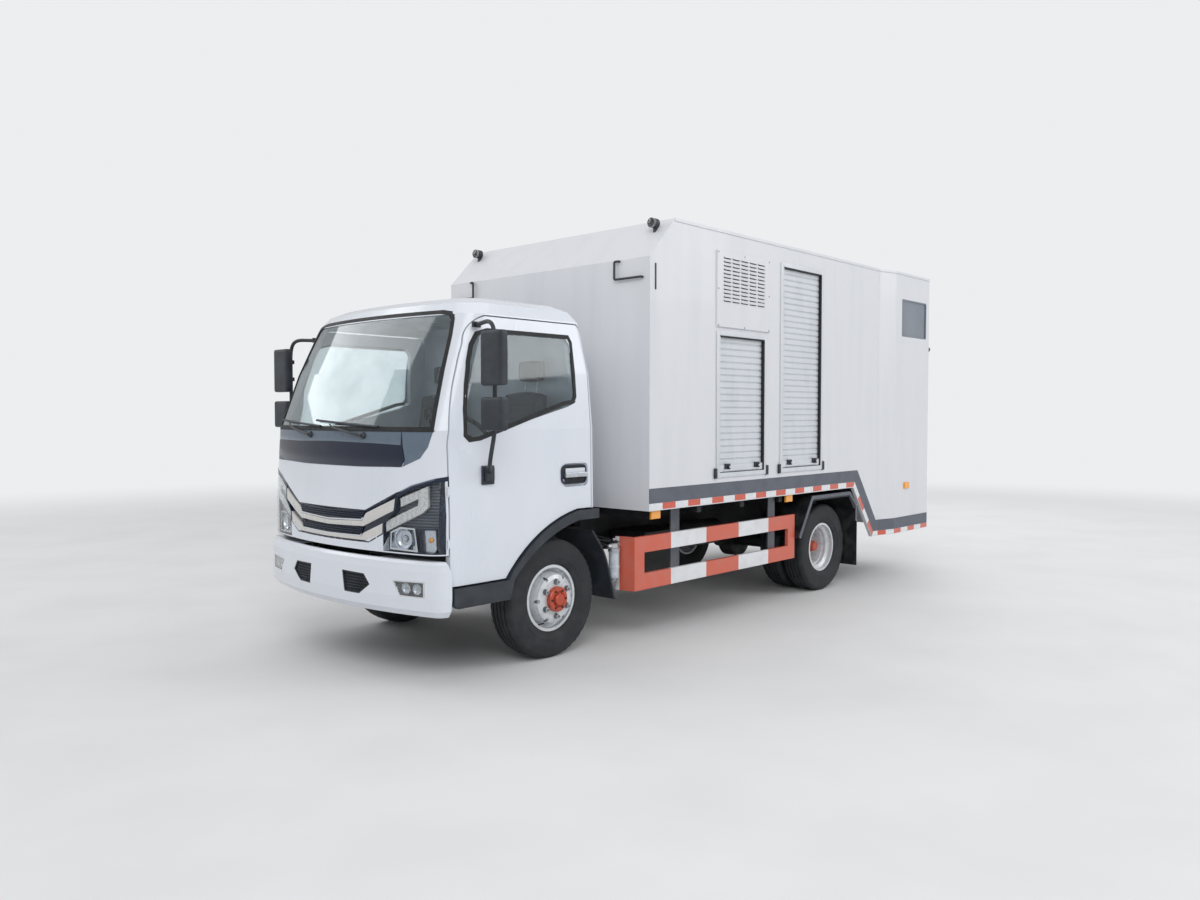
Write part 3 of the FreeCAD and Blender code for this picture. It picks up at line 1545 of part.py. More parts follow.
back_wall_zone = box(cab_rear_x - 10, cab_rear_x + cab_wall, -wide, wide, arch_crown_z, roof_split_z)
back_wall = cab_shell.common(back_wall_zone)
back_wall = back_wall.cut(back_hole)
for piece in door_cuts:
    back_wall = back_wall.cut(piece)

front_zone = box(split_front_x, cab_nose_x + 10, -wide, wide, cab_panel_foot_z, belt_z)
nose_shell = cab_shell.common(front_zone)


def nose_outline(points, depth):
    """Piece of the nose skin inside a front-view outline, depth thick."""
    skin = cab_outer.cut(cab_form(depth))
    return skin.common(front_prism(points, door_front_x, cab_nose_x + 50))


headlamp_points = [
    (headlamp_inner_y, headlamp_foot_z), (cab_half_width + 20, headlamp_foot_z),
    (cab_half_width + 20, headlamp_outer_top_z), (wing_outer_y, headlamp_inner_top_z),
    (headlamp_inner_y, headlamp_inner_top_z - 180),
]
headlamp_limit = box(split_front_x + headlamp_outer_setback, cab_nose_x + 50, 0, wide, 0, roof_top_z)
lamp_skin = cab_outer.cut(cab_form(headlamp_depth - 12))
headlamp = lamp_skin.common(front_prism(headlamp_points, door_front_x, cab_nose_x + 50)).common(headlamp_limit)

cowl_points = [
    (-cowl_half_width, cowl_foot_z + 40), (-cowl_half_width + 60, cowl_foot_z),
    (wing_outer_y, cowl_foot_z), (cowl_half_width - 40, belt_z), (-cowl_half_width, belt_z),
]
cowl = nose_outline(cowl_points, cowl_depth)

grille_low_z = grille_top_z - grille_bar_height * 2 - grille_bar_gap
grille_points = [
    (-wing_outer_y, grille_top_z + wing_rise), (-grille_half_width, grille_top_z),
    (grille_half_width, grille_top_z), (wing_outer_y, grille_top_z + wing_rise),
    (headlamp_inner_y + 60, grille_low_z + wing_rise - wing_height / 2), (grille_half_width - 20, grille_low_z),
    (-grille_half_width + 20, grille_low_z), (-headlamp_inner_y - 60, grille_low_z + wing_rise - wing_height / 2),
]
grille_recess = nose_outline(grille_points, grille_depth).cut(headlamp).cut(mirrored(headlamp))
nose_cut = [cowl, grille_recess, headlamp, mirrored(headlamp)]
nose_panel = nose_shell
for piece in nose_cut + both_sides(hinge_pockets()):
    nose_panel = nose_panel.cut(piece)
nose_panel = fused([nose_panel] + both_sides(door_pins()))
save("cab_front_panel", [nose_panel])
save("headlamps", both_sides([headlamp]))


def wiper(pivot_y, sweep):
    """Wiper arm and blade lying along the foot of the windscreen."""
    z = belt_z - 34
    x = cab_nose_x - belt_setback - pivot_y ** 2 / (2 * cab_bow_radius)
    foot = rod(V(x - 20, pivot_y, z), V(x + 22, pivot_y, z), 16)
    tip_y = pivot_y - sweep
    tip_x = cab_nose_x - belt_setback - tip_y ** 2 / (2 * cab_bow_radius)
    arm = rod(V(x + 18, pivot_y, z), V(tip_x + 14, tip_y, z + 70), 7)
    return fused([foot, arm])


save("cowl_panel", [fused([cowl, wiper(-250, 430), wiper(330, 430)]).cut(nose_panel)])


def grille():
    """Two mesh bands between swept wing bars."""
    recess = grille_recess
    bands = []
    for index in range(2):
        top = grille_top_z - index * (grille_bar_height + grille_bar_gap)
        half = grille_half_width - 20 - index * 40
        band = [(-half, top - 12), (half, top - 12), (half - 24, top - grille_bar_height),
                (-half + 24, top - grille_bar_height)]
        cells = []
        pitch = 34
        columns = int(2 * half / pitch)
        for row in range(2):
            for column in range(columns):
                y = -half + 30 + column * pitch
                if abs(y + pitch / 2) > half - 30:
                    continue
                z = top - 40 - row * 30
                cells.append(box(cab_nose_x - 100, cab_nose_x + 20, y, y + pitch - 8, z, z + 22))
        bands.extend(cells)
    return recess.cut(Part.makeCompound(bands))


save("grille", [grille()])

# Side frames keep what is left of the shell: pillars, sills and gutters
frame_parts = cab_shell
for piece in [above, back_wall_zone, front_zone, screen_zone, cowl] + door_cuts:
    frame_parts = frame_parts.cut(piece)
below = box(cab_rear_x - 10, cab_nose_x + 10, -wide, wide, sill_foot_z - 10, arch_crown_z)
frame_parts = frame_parts.cut(below)
save("cab_side_frames", [frame_parts])
save("cab_back_wall", [back_wall])


# Black arch flares and step sills below the doors
def flare():
    y1 = cab_half_width + flare_proud
    y0 = y1 - flare_thickness
    gap = panel_gap
    rear = cab_rear_x
    foot_x = door_foot_rear_x - gap
    front_end = door_front_x - gap
    z_top = arch_crown_z - gap
    inner_mid = V((door_foot_rear_x + arch_rear_x) / 2 - 30, 0, (cab_skirt_z + arch_crown_z) / 2 + 95 - gap)

    def down(point, amount):
        return V(point.x - amount * 0.6, 0, point.z - amount)

    outer = [
        V(rear, 0, z_top), V(arch_rear_x, 0, z_top), inner_mid, V(foot_x, 0, cab_skirt_z - gap),
        V(front_end, 0, cab_skirt_z - gap), V(front_end, 0, sill_foot_z + 30),
        V(front_end - 30, 0, sill_foot_z), V(foot_x - 10, 0, sill_foot_z),
        V(foot_x - 44, 0, cab_skirt_z - 10), down(inner_mid, flare_width * 0.8),
        V(arch_rear_x, 0, z_top - flare_width), V(rear, 0, z_top - flare_width),
    ]
    edges = [
        Part.makeLine(outer[0], outer[1]),
        Part.Arc(outer[1], outer[2], outer[3]).toShape(),
        Part.makeLine(outer[3], outer[4]),
        Part.makeLine(outer[4], outer[5]),
        Part.makeLine(outer[5], outer[6]),
        Part.makeLine(outer[6], outer[7]),
        Part.makeLine(outer[7], outer[8]),
        Part.Arc(outer[8], outer[9], outer[10]).toShape(),
        Part.makeLine(outer[10], outer[11]),
        Part.makeLine(outer[11], outer[0]),
    ]
    lip = swept_across(Part.Wire(edges), y0, y1)
    step = box(door_front_x - 60, foot_x + 30, y0 - sill_depth, y1 - 10, sill_foot_z, sill_foot_z + 30)
    riser = box(door_front_x - 60, foot_x + 30, y0 - sill_depth, y0 - sill_depth + 12,
                sill_foot_z, footwell_z - seat_gap)
    return fused([lip, step, riser])


save("arch_flares", both_sides([flare()]))


# Front bumper shell with inlets and fog lamps
def bumper_section(z, inset, rear_x=nose_x - bumper_length):
    bow = bumper_bow_radius - inset
    corner = bumper_corner_radius - inset
    half = bumper_half_width - inset
    front = nose_x - inset
    centre_x = front - bow
    corner_y = half - corner
    corner_x = centre_x + math.sqrt((bow - corner) ** 2 - corner_y ** 2)
    ratio = bow / (bow - corner)
    tangent = V(centre_x + (corner_x - centre_x) * ratio, corner_y * ratio, z)
    lean = math.atan2(corner_y, corner_x - centre_x)
    middle = (lean + math.pi / 2) / 2
    corner_mid = V(corner_x + corner * math.cos(middle), corner_y + corner * math.sin(middle), z)
    flank = V(corner_x, half, z)
    rear = V(rear_x, half, z)

    def flip(p):
        return V(p.x, -p.y, p.z)

    return Part.Wire([
        Part.Arc(flip(tangent), V(front, 0, z), tangent).toShape(),
        Part.Arc(tangent, corner_mid, flank).toShape(),
        Part.makeLine(flank, rear),
        Part.makeLine(rear, flip(rear)),
        Part.makeLine(flip(rear), flip(flank)),
        Part.Arc(flip(flank), flip(corner_mid), flip(tangent)).toShape(),
    ])


def bumper():
    levels = [
        (bumper_foot_z, 34), (bumper_foot_z + 36, 8), (bumper_foot_z + 110, 0),
        (bumper_top_z - 60, 0), (bumper_top_z - 16, 6), (bumper_top_z, 26),
    ]
    outer = Part.makeLoft([bumper_section(z, inset) for z, inset in levels], True, True)
    low = bumper_foot_z + bumper_skin
    high = bumper_top_z - bumper_skin
    past_rear = nose_x - bumper_length - 20
    thin = bumper_skin + 8
    inner = Part.makeLoft(
        [bumper_section(low, 50, past_rear), bumper_section(low + 70, thin, past_rear),
         bumper_section(high - 50, thin, past_rear), bumper_section(high, 50, past_rear)], True, True)
    shell = outer.cut(inner)
    middle = frame_half_width + 90
    bracket_foot_z = bumper_inlet_top_z + 4
    slot = Part.Face(bumper_section(bumper_foot_z - 1, 42, past_rear)).extrude(V(0, 0, bumper_top_z))
    slot = slot.common(box(past_rear, nose_x, -middle, middle, bumper_foot_z - 1, bumper_top_z + 20))
    rail_end_x = nose_x - frame_front_setback
    bracket_end_x = nose_x - bumper_skin - 20
    inner = frame_half_width + seat_gap
    brackets = [box(rail_end_x - 90, bracket_end_x, side * inner, side * (inner + 14),
                    bracket_foot_z, bracket_foot_z + bumper_bracket_height) for side in (1, -1)]
    heel_x = nose_x - bumper_length
    heel = side_prism(
        [(heel_x - 1, bumper_top_z - bumper_heel_rise), (heel_x + bumper_heel_run, bumper_top_z + 1),
         (heel_x - 1, bumper_top_z + 1)],
        -bumper_half_width - 1, bumper_half_width + 1,
    )
    return fused([shell.cut(slot).cut(heel)] + brackets)


bumper_solid = bumper()
inlet = front_prism(
    [(bumper_inlet_inner_y, bumper_inlet_top_z), (bumper_inlet_outer_y - 50, bumper_inlet_top_z - 4),
     (bumper_inlet_outer_y, (bumper_inlet_foot_z + bumper_inlet_top_z) / 2),
     (bumper_inlet_outer_y - 95, bumper_inlet_foot_z), (bumper_inlet_inner_y + 20, bumper_inlet_foot_z)],
    nose_x - 200, nose_x + 20,
)
fog_hole = front_prism(
    [(fog_lamp_inner_y, fog_lamp_top_z), (fog_lamp_outer_y, fog_lamp_top_z + 6),
     (fog_lamp_outer_y, fog_lamp_foot_z), (fog_lamp_inner_y + 55, fog_lamp_foot_z)],
    nose_x - 200, nose_x + 20,
)
bumper_holes = both_sides([inlet, fog_hole])
bumper_open = bumper_solid
for hole in bumper_holes:
    bumper_open = bumper_open.cut(hole)
save("front_bumper", [bumper_open])

insert_skin = Part.makeLoft(
    [bumper_section(bumper_foot_z + 60, 6), bumper_section(bumper_top_z - 60, 6)], True, True)
insert_core = Part.makeLoft(
    [bumper_section(bumper_foot_z + 50, 18, nose_x - bumper_length - 20),
     bumper_section(bumper_top_z - 50, 18, nose_x - bumper_length - 20)], True, True)
insert_skin = insert_skin.cut(insert_core)
inserts = [insert_skin.common(hole) for hole in bumper_holes]
save("bumper_inserts", inserts)


cabin_half = cab_half_width - cab_wall - cabin_side_clearance
cabin_box = box(cab_rear_x, cab_nose_x, -cabin_half, cabin_half, sill_foot_z, roof_top_z)


# Cab floor with footwell and engine tunnel
def cab_floor():
    x_front = cab_nose_x - cab_wall - 12
    x_rear = cab_rear_x + cab_wall
    t = cab_floor_thickness
    riser_x = x_front - footwell_length
    outline = [
        (x_rear, cab_floor_z), (x_rear, cab_floor_z + t), (riser_x + t, cab_floor_z + t),
        (riser_x + t, footwell_z + t), (x_front, footwell_z + t), (x_front, footwell_z),
        (riser_x, footwell_z), (riser_x, cab_floor_z),
    ]
    floor = side_prism(outline, -cab_half_width, cab_half_width)
    tunnel = box(x_rear, engine_x1 + 60, -tunnel_half_width, tunnel_half_width, footwell_z, tunnel_top_z)
    core = box(x_rear - 1, engine_x1 + 60 - t, -tunnel_half_width + t, tunnel_half_width - t, 0, tunnel_top_z - t)
    floor = fused([floor, tunnel]).cut(core)
    floor = floor.common(cab_inner).common(cabin_box)
    tilt_x = nose_x - tilt_axis_setback
    hinges = []
    for side in (1, -1):
        y1 = side * (tilt_lug_y - tilt_lug_thickness / 2 - tilt_arm_gap)
        y0 = y1 - side * tilt_lug_thickness
        z = tilt_axis_z
        arm = side_prism(
            [(tilt_x - 20, z - 20), (tilt_x + 12, z - 20), (tilt_x + 12, z + 14), (tilt_x - 46, z + 70),
             (tilt_x - 60, footwell_z + 4), (tilt_x - 140, footwell_z + 4), (tilt_x - 140, footwell_z - 22),
             (tilt_x - 84, footwell_z - 22), (tilt_x - 70, z + 62), (tilt_x - 20, z + 12)],
            y0, y1,
        )
        hole = cross_rod(tilt_x, tilt_axis_z, y0 - side * 5, y1 + side * 5, tilt_pin_radius + run_gap)
        hinges.append(arm.cut(hole))
    return [fused([floor] + hinges)]


save("cab_floor", cab_floor())


# Seats, dash and steering wheel
def seat(y):
    x1 = nose_x - seat_setback
    x0 = x1 - seat_depth
    base_z = cab_floor_z + cab_floor_thickness
    cushion_z = base_z + seat_plinth_height
    cushion_top = cushion_z + seat_cushion_height
    plinth_half = seat_width / 2 - seat_plinth_inset
    plinth = box(x0 + 60, x1 - 60, y - plinth_half, y + plinth_half, base_z, cushion_z)
    cushion = box(x0, x1, y - seat_width / 2, y + seat_width / 2, cushion_z, cushion_top)
    cushion = round_edges(cushion, 40, lambda e: e.CenterOfMass.z > cushion_top - 1)
    back_z = cushion_z + seat_cushion_height * 0.6
    lean = seat_back_lean
    back = side_prism(
        [(x0 + 20, back_z), (x0 + 20 + seat_back_thickness, back_z),
         (x0 + 20 + seat_back_thickness - lean, back_z + seat_back_height), (x0 + 20 - lean, back_z + seat_back_height)],
        y - seat_width / 2 + 10, y + seat_width / 2 - 10,
    )
    head = box(x0 - lean - 20, x0 - lean + 70, y - 130, y + 130, back_z + seat_back_height + 30,
               back_z + seat_back_height + 190)
    posts = [rod(V(x0 - lean + 30, y + s * 60, back_z + seat_back_height - 20),
                 V(x0 - lean + 30, y + s * 60, back_z + seat_back_height + 60), 7) for s in (-1, 1)]
    return fused([plinth, cushion, back, head] + posts)


save("seats", [seat(driver_seat_y), seat(passenger_seat_y)])


wheel_lean = math.radians(steering_wheel_tilt)
wheel_axis = V(-math.sin(wheel_lean), 0, math.cos(wheel_lean))
wheel_centre = V(nose_x - steering_wheel_setback, driver_seat_y, steering_wheel_z)


def column_at(reach):
    """Point on the steering column, reach below the middle of the wheel."""
    return wheel_centre.sub(wheel_axis * reach)


def dashboard():
    front = cab_nose_x - cab_wall
    back = front - dash_depth
    outline = [
        (front - 40, dash_foot_z), (front + 40, dash_top_z - 40), (front + 30, dash_top_z),
        (back + 60, dash_top_z), (back, dash_top_z - 60), (back + 30, dash_foot_z),
    ]
    slab = side_prism(outline, -cab_half_width, cab_half_width)
    slab = slab.common(cab_form(cab_wall + seat_gap)).common(cabin_box)
    shroud = rod(column_at(110), column_at(column_foot), 52)
    bridge = side_prism([(back - 150, 1290), (back + 40, 1400), (back + 40, 1150), (back - 70, 1140)],
                        driver_seat_y - 45, driver_seat_y + 45)
    bore = rod(column_at(60), column_at(column_foot + 60), column_radius + run_gap)
    return [fused([slab, shroud, bridge]).cut(bore)]


save("dashboard", dashboard())


def steering_wheel():
    centre = wheel_centre
    axis = wheel_axis
    ring = Part.makeTorus(steering_wheel_radius, steering_wheel_rim_radius, centre, axis)
    hub = Part.makeCylinder(48, 40, column_at(40), axis)
    column = rod(column_at(column_foot - 4), column_at(30), column_radius)
    spokes = []
    for turn in (90, 210, 330):
        radial = V(0, 1, 0)
        spin = FreeCAD.Rotation(axis, turn)
        direction = spin.multVec(radial)
        spokes.append(rod(centre.sub(axis * 18), centre.add(direction * steering_wheel_radius), 10))
    return [fused([ring, hub, column] + spokes)]


save("steering_wheel", steering_wheel())


# Door mirrors on a bent tube
def mirror():
    x = nose_x - cab_nose_setback - mirror_setback - 40
    arm_x = nose_x - cab_nose_setback - mirror_arm_setback
    foot_y = cab_half_width - 4
    tube_y = mirror_y - 10
    tube_x = x - mirror_head_depth - 10
    top_z = mirror_head_arm_z
    points = [
        V(arm_x, foot_y + 34, mirror_foot_z), V(tube_x, tube_y - 40, mirror_foot_z + 90),
        V(tube_x, tube_y, mirror_lower_foot_z), V(tube_x, tube_y, top_z - 60),
        V(tube_x - 10, tube_y - 60, top_z), V(arm_x + 20, mid_glass_half_width - 18, top_z - 10),
    ]
    solids = []
    for start, end in zip(points[:-1], points[1:]):
        solids.append(rod(start, end, mirror_tube_radius))
        solids.append(Part.makeSphere(mirror_tube_radius, end))
    foot = box(arm_x - 60, arm_x + 40, foot_y - 4, foot_y + 40, mirror_foot_z - 60, mirror_foot_z + 60)
    foot = round_edges(foot, 14, lambda e: runs_along(e, V(0, 1, 0)))
    solids.append(foot.cut(cab_form(-seat_gap)))
    for low, height in ((mirror_upper_foot_z, mirror_upper_height), (mirror_lower_foot_z, mirror_lower_height)):
        head = box(x - mirror_head_depth, x, mirror_y - mirror_head_width / 2 + 30,
                   mirror_y + mirror_head_width / 2 + 30, low, low + height)
        head = round_edges(head, 22, lambda e: runs_along(e, V(1, 0, 0)) or e.CenterOfMass.x > x - 1)
        solids.append(head)
    return fused(solids)


mirror_solid = mirror()
save("mirror_left", [mirror_solid])
save("mirror_right", [mirrored(mirror_solid)])
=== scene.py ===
import bmesh
import bpy
import math
from functools import partial
from mathutils import Matrix, Vector


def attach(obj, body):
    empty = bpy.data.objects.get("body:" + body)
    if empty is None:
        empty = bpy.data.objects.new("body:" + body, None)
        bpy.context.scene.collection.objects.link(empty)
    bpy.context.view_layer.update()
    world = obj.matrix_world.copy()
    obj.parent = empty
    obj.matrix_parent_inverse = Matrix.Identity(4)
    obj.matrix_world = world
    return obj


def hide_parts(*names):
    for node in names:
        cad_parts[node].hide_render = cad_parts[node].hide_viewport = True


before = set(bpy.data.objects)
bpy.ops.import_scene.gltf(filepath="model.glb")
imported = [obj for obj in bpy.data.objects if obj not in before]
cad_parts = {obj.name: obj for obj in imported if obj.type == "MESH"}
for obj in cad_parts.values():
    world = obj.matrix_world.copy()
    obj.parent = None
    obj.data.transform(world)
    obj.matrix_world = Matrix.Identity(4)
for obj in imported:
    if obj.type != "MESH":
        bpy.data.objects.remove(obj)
from types import SimpleNamespace

# Sizes are metres in the part's frame: x forward, y to the truck's left, z up from the ground
print("frame loaded:", len(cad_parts), "nodes")
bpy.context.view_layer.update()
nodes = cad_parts
pi = math.pi
sides = ((1, "Left"), (-1, "Right"))


# Colour and node helpers
def toLinear(hexText):
    channels = [int(hexText[i:i + 2], 16) / 255 for i in (1, 3, 5)]
    return tuple(c / 12.92 if c <= 0.04045 else ((c + 0.055) / 1.055) ** 2.4 for c in channels) + (1.0,)


def addNode(tree, kind, inputs=None, **settings):
    # each input takes a value or the socket that feeds it
    node = tree.nodes.new("ShaderNode" + kind)
    for key, value in settings.items():
        setattr(node, key, value)
    for key, value in (inputs or {}).items():
        if isinstance(value, bpy.types.NodeSocket):
            tree.links.new(value, node.inputs[key])
        else:
            node.inputs[key].default_value = value
    return node


def maths(tree, operation, *terms):
    return addNode(tree, "Math", dict(enumerate(terms)), operation=operation).outputs[0]


def mixed(tree, share, first, second):
    # colour between two ends, each a hex text or a socket
    start, end = (toLinear(tone) if isinstance(tone, str) else tone for tone in (first, second))
    return addNode(tree, "Mix", {0: share, 6: start, 7: end}, data_type="RGBA").outputs[2]


def ranged(tree, value, low, high, least=0.0, most=1.0):
    ends = {"From Min": low, "From Max": high, "To Min": least, "To Max": most}
    return addNode(tree, "MapRange", {"Value": value, **ends}).outputs[0]


def startMaterial(name, colour, roughness, metallic=0.0, **sockets):
    material = bpy.data.materials.new(name)
    material.use_nodes = True
    tree = material.node_tree
    shader = tree.nodes["Principled BSDF"]
    sockets.update(Base_Color=toLinear(colour), Roughness=roughness, Metallic=metallic)
    for key, value in sockets.items():
        shader.inputs[key.replace("_", " ")].default_value = value
    place = addNode(tree, "TexCoord").outputs["Object"]
    return SimpleNamespace(material=material, tree=tree, shader=shader, place=place)


def feed(mat, key, socket):
    mat.tree.links.new(socket, mat.shader.inputs[key])


def perMm(size):
    return 1000.0 / size  # texture scale of a pattern whose cell is size mm wide


def cloudy(mat, size, detail=3.0, stretch=(1, 1, 1)):
    # soft patches about size mm across, drawn out along an axis where stretch is under 1
    moved = addNode(mat.tree, "Mapping", {"Scale": stretch, "Vector": mat.place}).outputs[0]
    inputs = {"Scale": perMm(size), "Detail": detail, "Vector": moved}
    return addNode(mat.tree, "TexNoise", inputs).outputs["Fac"]


def cellular(mat, size, output="Distance", randomness=1.0, feature="F1"):
    inputs = {"Scale": perMm(size), "Randomness": randomness, "Vector": mat.place}
    return addNode(mat.tree, "TexVoronoi", inputs, feature=feature).outputs[output]


def wavy(mat, size, direction):
    inputs = {"Scale": perMm(size) / 6.28, "Vector": mat.place}
    return addNode(mat.tree, "TexWave", inputs, bands_direction=direction).outputs["Fac"]


def tinted(mat, factor, clean, worn, low=0.4, high=0.75):
    # base colour goes from clean to worn as the factor passes low and high
    colour = mixed(mat.tree, ranged(mat.tree, factor, low, high), clean, worn)
    feed(mat, "Base Color", colour)
    return colour


def roughened(mat, factor, low, high):
    feed(mat, "Roughness", ranged(mat.tree, factor, 0.3, 0.7, low, high))


def weathered(mat, factor, clean, worn, smooth, rough, *span):
    # colour and roughness follow the same dirt
    roughened(mat, factor, smooth, rough)
    return tinted(mat, factor, clean, worn, *span)


def embossed(mat, height, depth, strength=1.0):
    # depth is the real height of the relief in metres
    relief = {"Strength": strength, "Distance": depth, "Height": height}
    feed(mat, "Normal", addNode(mat.tree, "Bump", relief).outputs[0])


def placeAlong(mat, axis):
    return addNode(mat.tree, "SeparateXYZ", {0: mat.place}).outputs[axis]


def byTurns(mat, axis, start, pitch):
    # 0 and 1 by turns along an axis of the part's frame, each pitch long, from start
    reach = maths(mat.tree, "SUBTRACT", placeAlong(mat, axis), start)
    whole = maths(mat.tree, "FLOOR", maths(mat.tree, "DIVIDE", reach, pitch))
    rest = maths(mat.tree, "FRACT", maths(mat.tree, "DIVIDE", whole, 2.0))
    return maths(mat.tree, "GREATER_THAN", rest, 0.25)


# Mesh helpers: a piece is one bmesh that takes many parts
def around(middle, reach):
    return middle - reach, middle + reach


def mirrored(half):
    # both halves of an outline that is given from its top middle to its lower middle
    return [(-u, v) for u, v in half] + [(u, v) for u, v in reversed(half) if u]


def absorb(piece, part, look):
    for face in part.faces:
        face.material_index = look
    spare = bpy.data.meshes.new("spare")
    part.to_mesh(spare)
    part.free()
    piece.from_mesh(spare)
    bpy.data.meshes.remove(spare)


def softened(part, edges, width, segments=2):
    bmesh.ops.bevel(part, geom=edges, offset=width, segments=segments, profile=0.7, affect="EDGES")


def joinLoops(part, loops):
    # quads between closed loops of corners that follow one another
    for ring, beyond in zip(loops, loops[1:]):
        for k in range(len(ring)):
            part.faces.new((ring[k - 1], ring[k], beyond[k], beyond[k - 1]))


def addBlock(piece, low, high, look=0, bevel=0.002, segments=2):
    part = bmesh.new()
    bmesh.ops.create_cube(part, size=1)
    low, high = Vector(low), Vector(high)
    span = high - low
    bmesh.ops.scale(part, vec=span, verts=part.verts)
    if bevel:
        softened(part, part.edges[:], min(bevel, 0.45 * min(span)), segments)
    bmesh.ops.translate(part, vec=(low + high) / 2, verts=part.verts)
    absorb(piece, part, look)


def sidedBlock(piece, side, x, y, z, look=0, bevel=0.003, segments=2):
    # block by its spans along x, y and z, on the left (side 1) or the right (side -1)
    lowY, highY = sorted((side * y[0], side * y[1]))
    addBlock(piece, (x[0], lowY, z[0]), (x[1], highY, z[1]), look, bevel, segments)


def rounded(path, radius, steps=5):
    # the path with its corners turned into short curves
    path = [Vector(p) for p in path]
    points = [path[0]]
    for before, corner, after in zip(path, path[1:], path[2:]):
        start, end = (corner + (far - corner).normalized() * min(radius, (far - corner).length / 2)
                      for far in (before, after))
        for step in range(steps + 1):
            t = step / steps
            points.append(start * (1 - t) ** 2 + corner * (2 * t * (1 - t)) + end * t ** 2)
    return points + [path[-1]]


def addTube(piece, path, radius, look=0, corners=12):
    part = bmesh.new()
    points = [Vector(p) for p in path]
    last = len(points) - 1
    rings = []
    normal = None
    for i, point in enumerate(points):
        along = (points[min(i + 1, last)] - points[max(i - 1, 0)]).normalized()
        normal = along.orthogonal() if normal is None else normal
        normal = (normal - along * normal.dot(along)).normalized()
        across = along.cross(normal)
        size = radius(i / last) if callable(radius) else radius
        angles = [2 * pi * k / corners for k in range(corners)]
        rings.append([part.verts.new(point + (normal * math.cos(a) + across * math.sin(a)) * size)
                      for a in angles])
    joinLoops(part, rings)
    part.faces.new(rings[0])
    part.faces.new(rings[-1])
    absorb(piece, part, look)


def addLathe(piece, profile, centre, axis=(0, 1, 0), look=0, turns=64, stir=None):
    # profile holds (radius, reach along the axis); stir shifts a point by its turn and place in the profile
    part = bmesh.new()
    centre, axis = Vector(centre), Vector(axis).normalized()
    across = axis.orthogonal().normalized()
    up = axis.cross(across)
    rings = []
    for turn in range(turns):
        angle = 2 * pi * turn / turns
        out = across * math.cos(angle) + up * math.sin(angle)
        ring = []
        for k, (radius, reach) in enumerate(profile):
            moreRadius, moreReach = stir(turn, k) if stir else (0, 0)
            ring.append(part.verts.new(centre + axis * (reach + moreReach) + out * (radius + moreRadius)))
        rings.append(ring)
    for ring, beyond in zip(rings, rings[1:] + rings[:1]):
        for k in range(len(profile) - 1):
            part.faces.new((ring[k], beyond[k], beyond[k + 1], ring[k + 1]))
    bmesh.ops.remove_doubles(part, verts=part.verts, dist=1e-6)
    absorb(piece, part, look)


def slabOf(outline, near, far):
    # closed slab in a flat space (u, w, v), drawn from w = near to w = far
    part = bmesh.new()
    ends = [[part.verts.new((u, w, v)) for u, v in outline] for w in (near, far)]
    for end in ends:
        part.faces.new(end)
    joinLoops(part, ends)
    bmesh.ops.recalc_face_normals(part, faces=part.faces)
    return part


def addPrism(piece, outline, axis, start, end, look=0, bevel=0.0):
    # the outline's two numbers are the other axes in x y z order
    part = slabOf(outline, start, end)
    if bevel:
        softened(part, part.edges[:], bevel)
    for vert in part.verts:
        u, w, v = vert.co
        vert.co = {"x": (w, u, v), "y": (u, w, v)}[axis]
    absorb(piece, part, look)


def sliced(part, step, levels):
    # cut the flat slab so that it can bend
    low, high = (end(v.co.x for v in part.verts) for end in (min, max))
    cuts = [((k * step, 0, 0), (1, 0, 0)) for k in range(math.floor(low / step) + 1, math.ceil(high / step))]
    cuts += [((0, 0, z), (0, 0, 1)) for z in levels]
    for point, direction in cuts:
        bmesh.ops.bisect_plane(part, geom=part.verts[:] + part.edges[:] + part.faces[:], plane_co=point,
                               plane_no=direction, dist=1e-7)
    bmesh.ops.triangulate(part, faces=[f for f in part.faces if len(f.verts) > 4])


# The cab's skin: a bowed front with rounded corners that leans back with height
cab = {"nose": 3.14, "bow": 3.07, "corner": 0.17, "levels": (
    (0.455, 0.006, 0.94), (1.0, 0.0, 0.94), (1.48, 0.032, 0.934), (1.84, 0.165, 0.904),
    (2.175, 0.321, 0.856), (2.245, 0.385, 0.808), (2.285, 0.48, 0.715))}
bumper = {"nose": 3.16, "bow": 3.07, "corner": 0.1, "levels": (
    (0.41, 0.034, 0.924), (0.446, 0.008, 0.95), (0.52, 0.0, 0.958), (0.672, 0.0, 0.958),
    (0.716, 0.006, 0.952), (0.732, 0.026, 0.932))}


def sectionAt(skin, z):
    # at this height: centre of the bow, half width, turn at which the corner starts, centre of the corner
    levels = skin["levels"]
    z = min(max(z, levels[0][0]), levels[-1][0])
    for (z0, back0, half0), (z1, back1, half1) in zip(levels, levels[1:]):
        if z <= z1:
            t = (z - z0) / (z1 - z0)
            middle = skin["nose"] - back0 - (back1 - back0) * t - skin["bow"]
            half = half0 + (half1 - half0) * t
            arm = skin["bow"] - skin["corner"]
            lean = math.asin((half - skin["corner"]) / arm)
            return middle, half, lean, middle + arm * math.cos(lean)


def onNose(skin, along, z, proud=0.0):
    # point of the skin by its way round from the middle of the front, positive to the truck's left
    middle, half, lean, cornerX = sectionAt(skin, z)
    bow, corner = skin["bow"], skin["corner"]
    way = abs(along)
    if way <= bow * lean:
        angle, centreX, centreY, radius = way / bow, middle, 0.0, bow
    else:
        angle = min(lean + (way - bow * lean) / corner, pi / 2)
        centreX, centreY, radius = cornerX, half - corner, corner
    beyond = max(way - bow * lean - corner * (pi / 2 - lean), 0.0)
    x = centreX + (radius + proud) * math.cos(angle) - beyond
    y = centreY + (radius + proud) * math.sin(angle)
    return Vector((x, math.copysign(y, along), z))


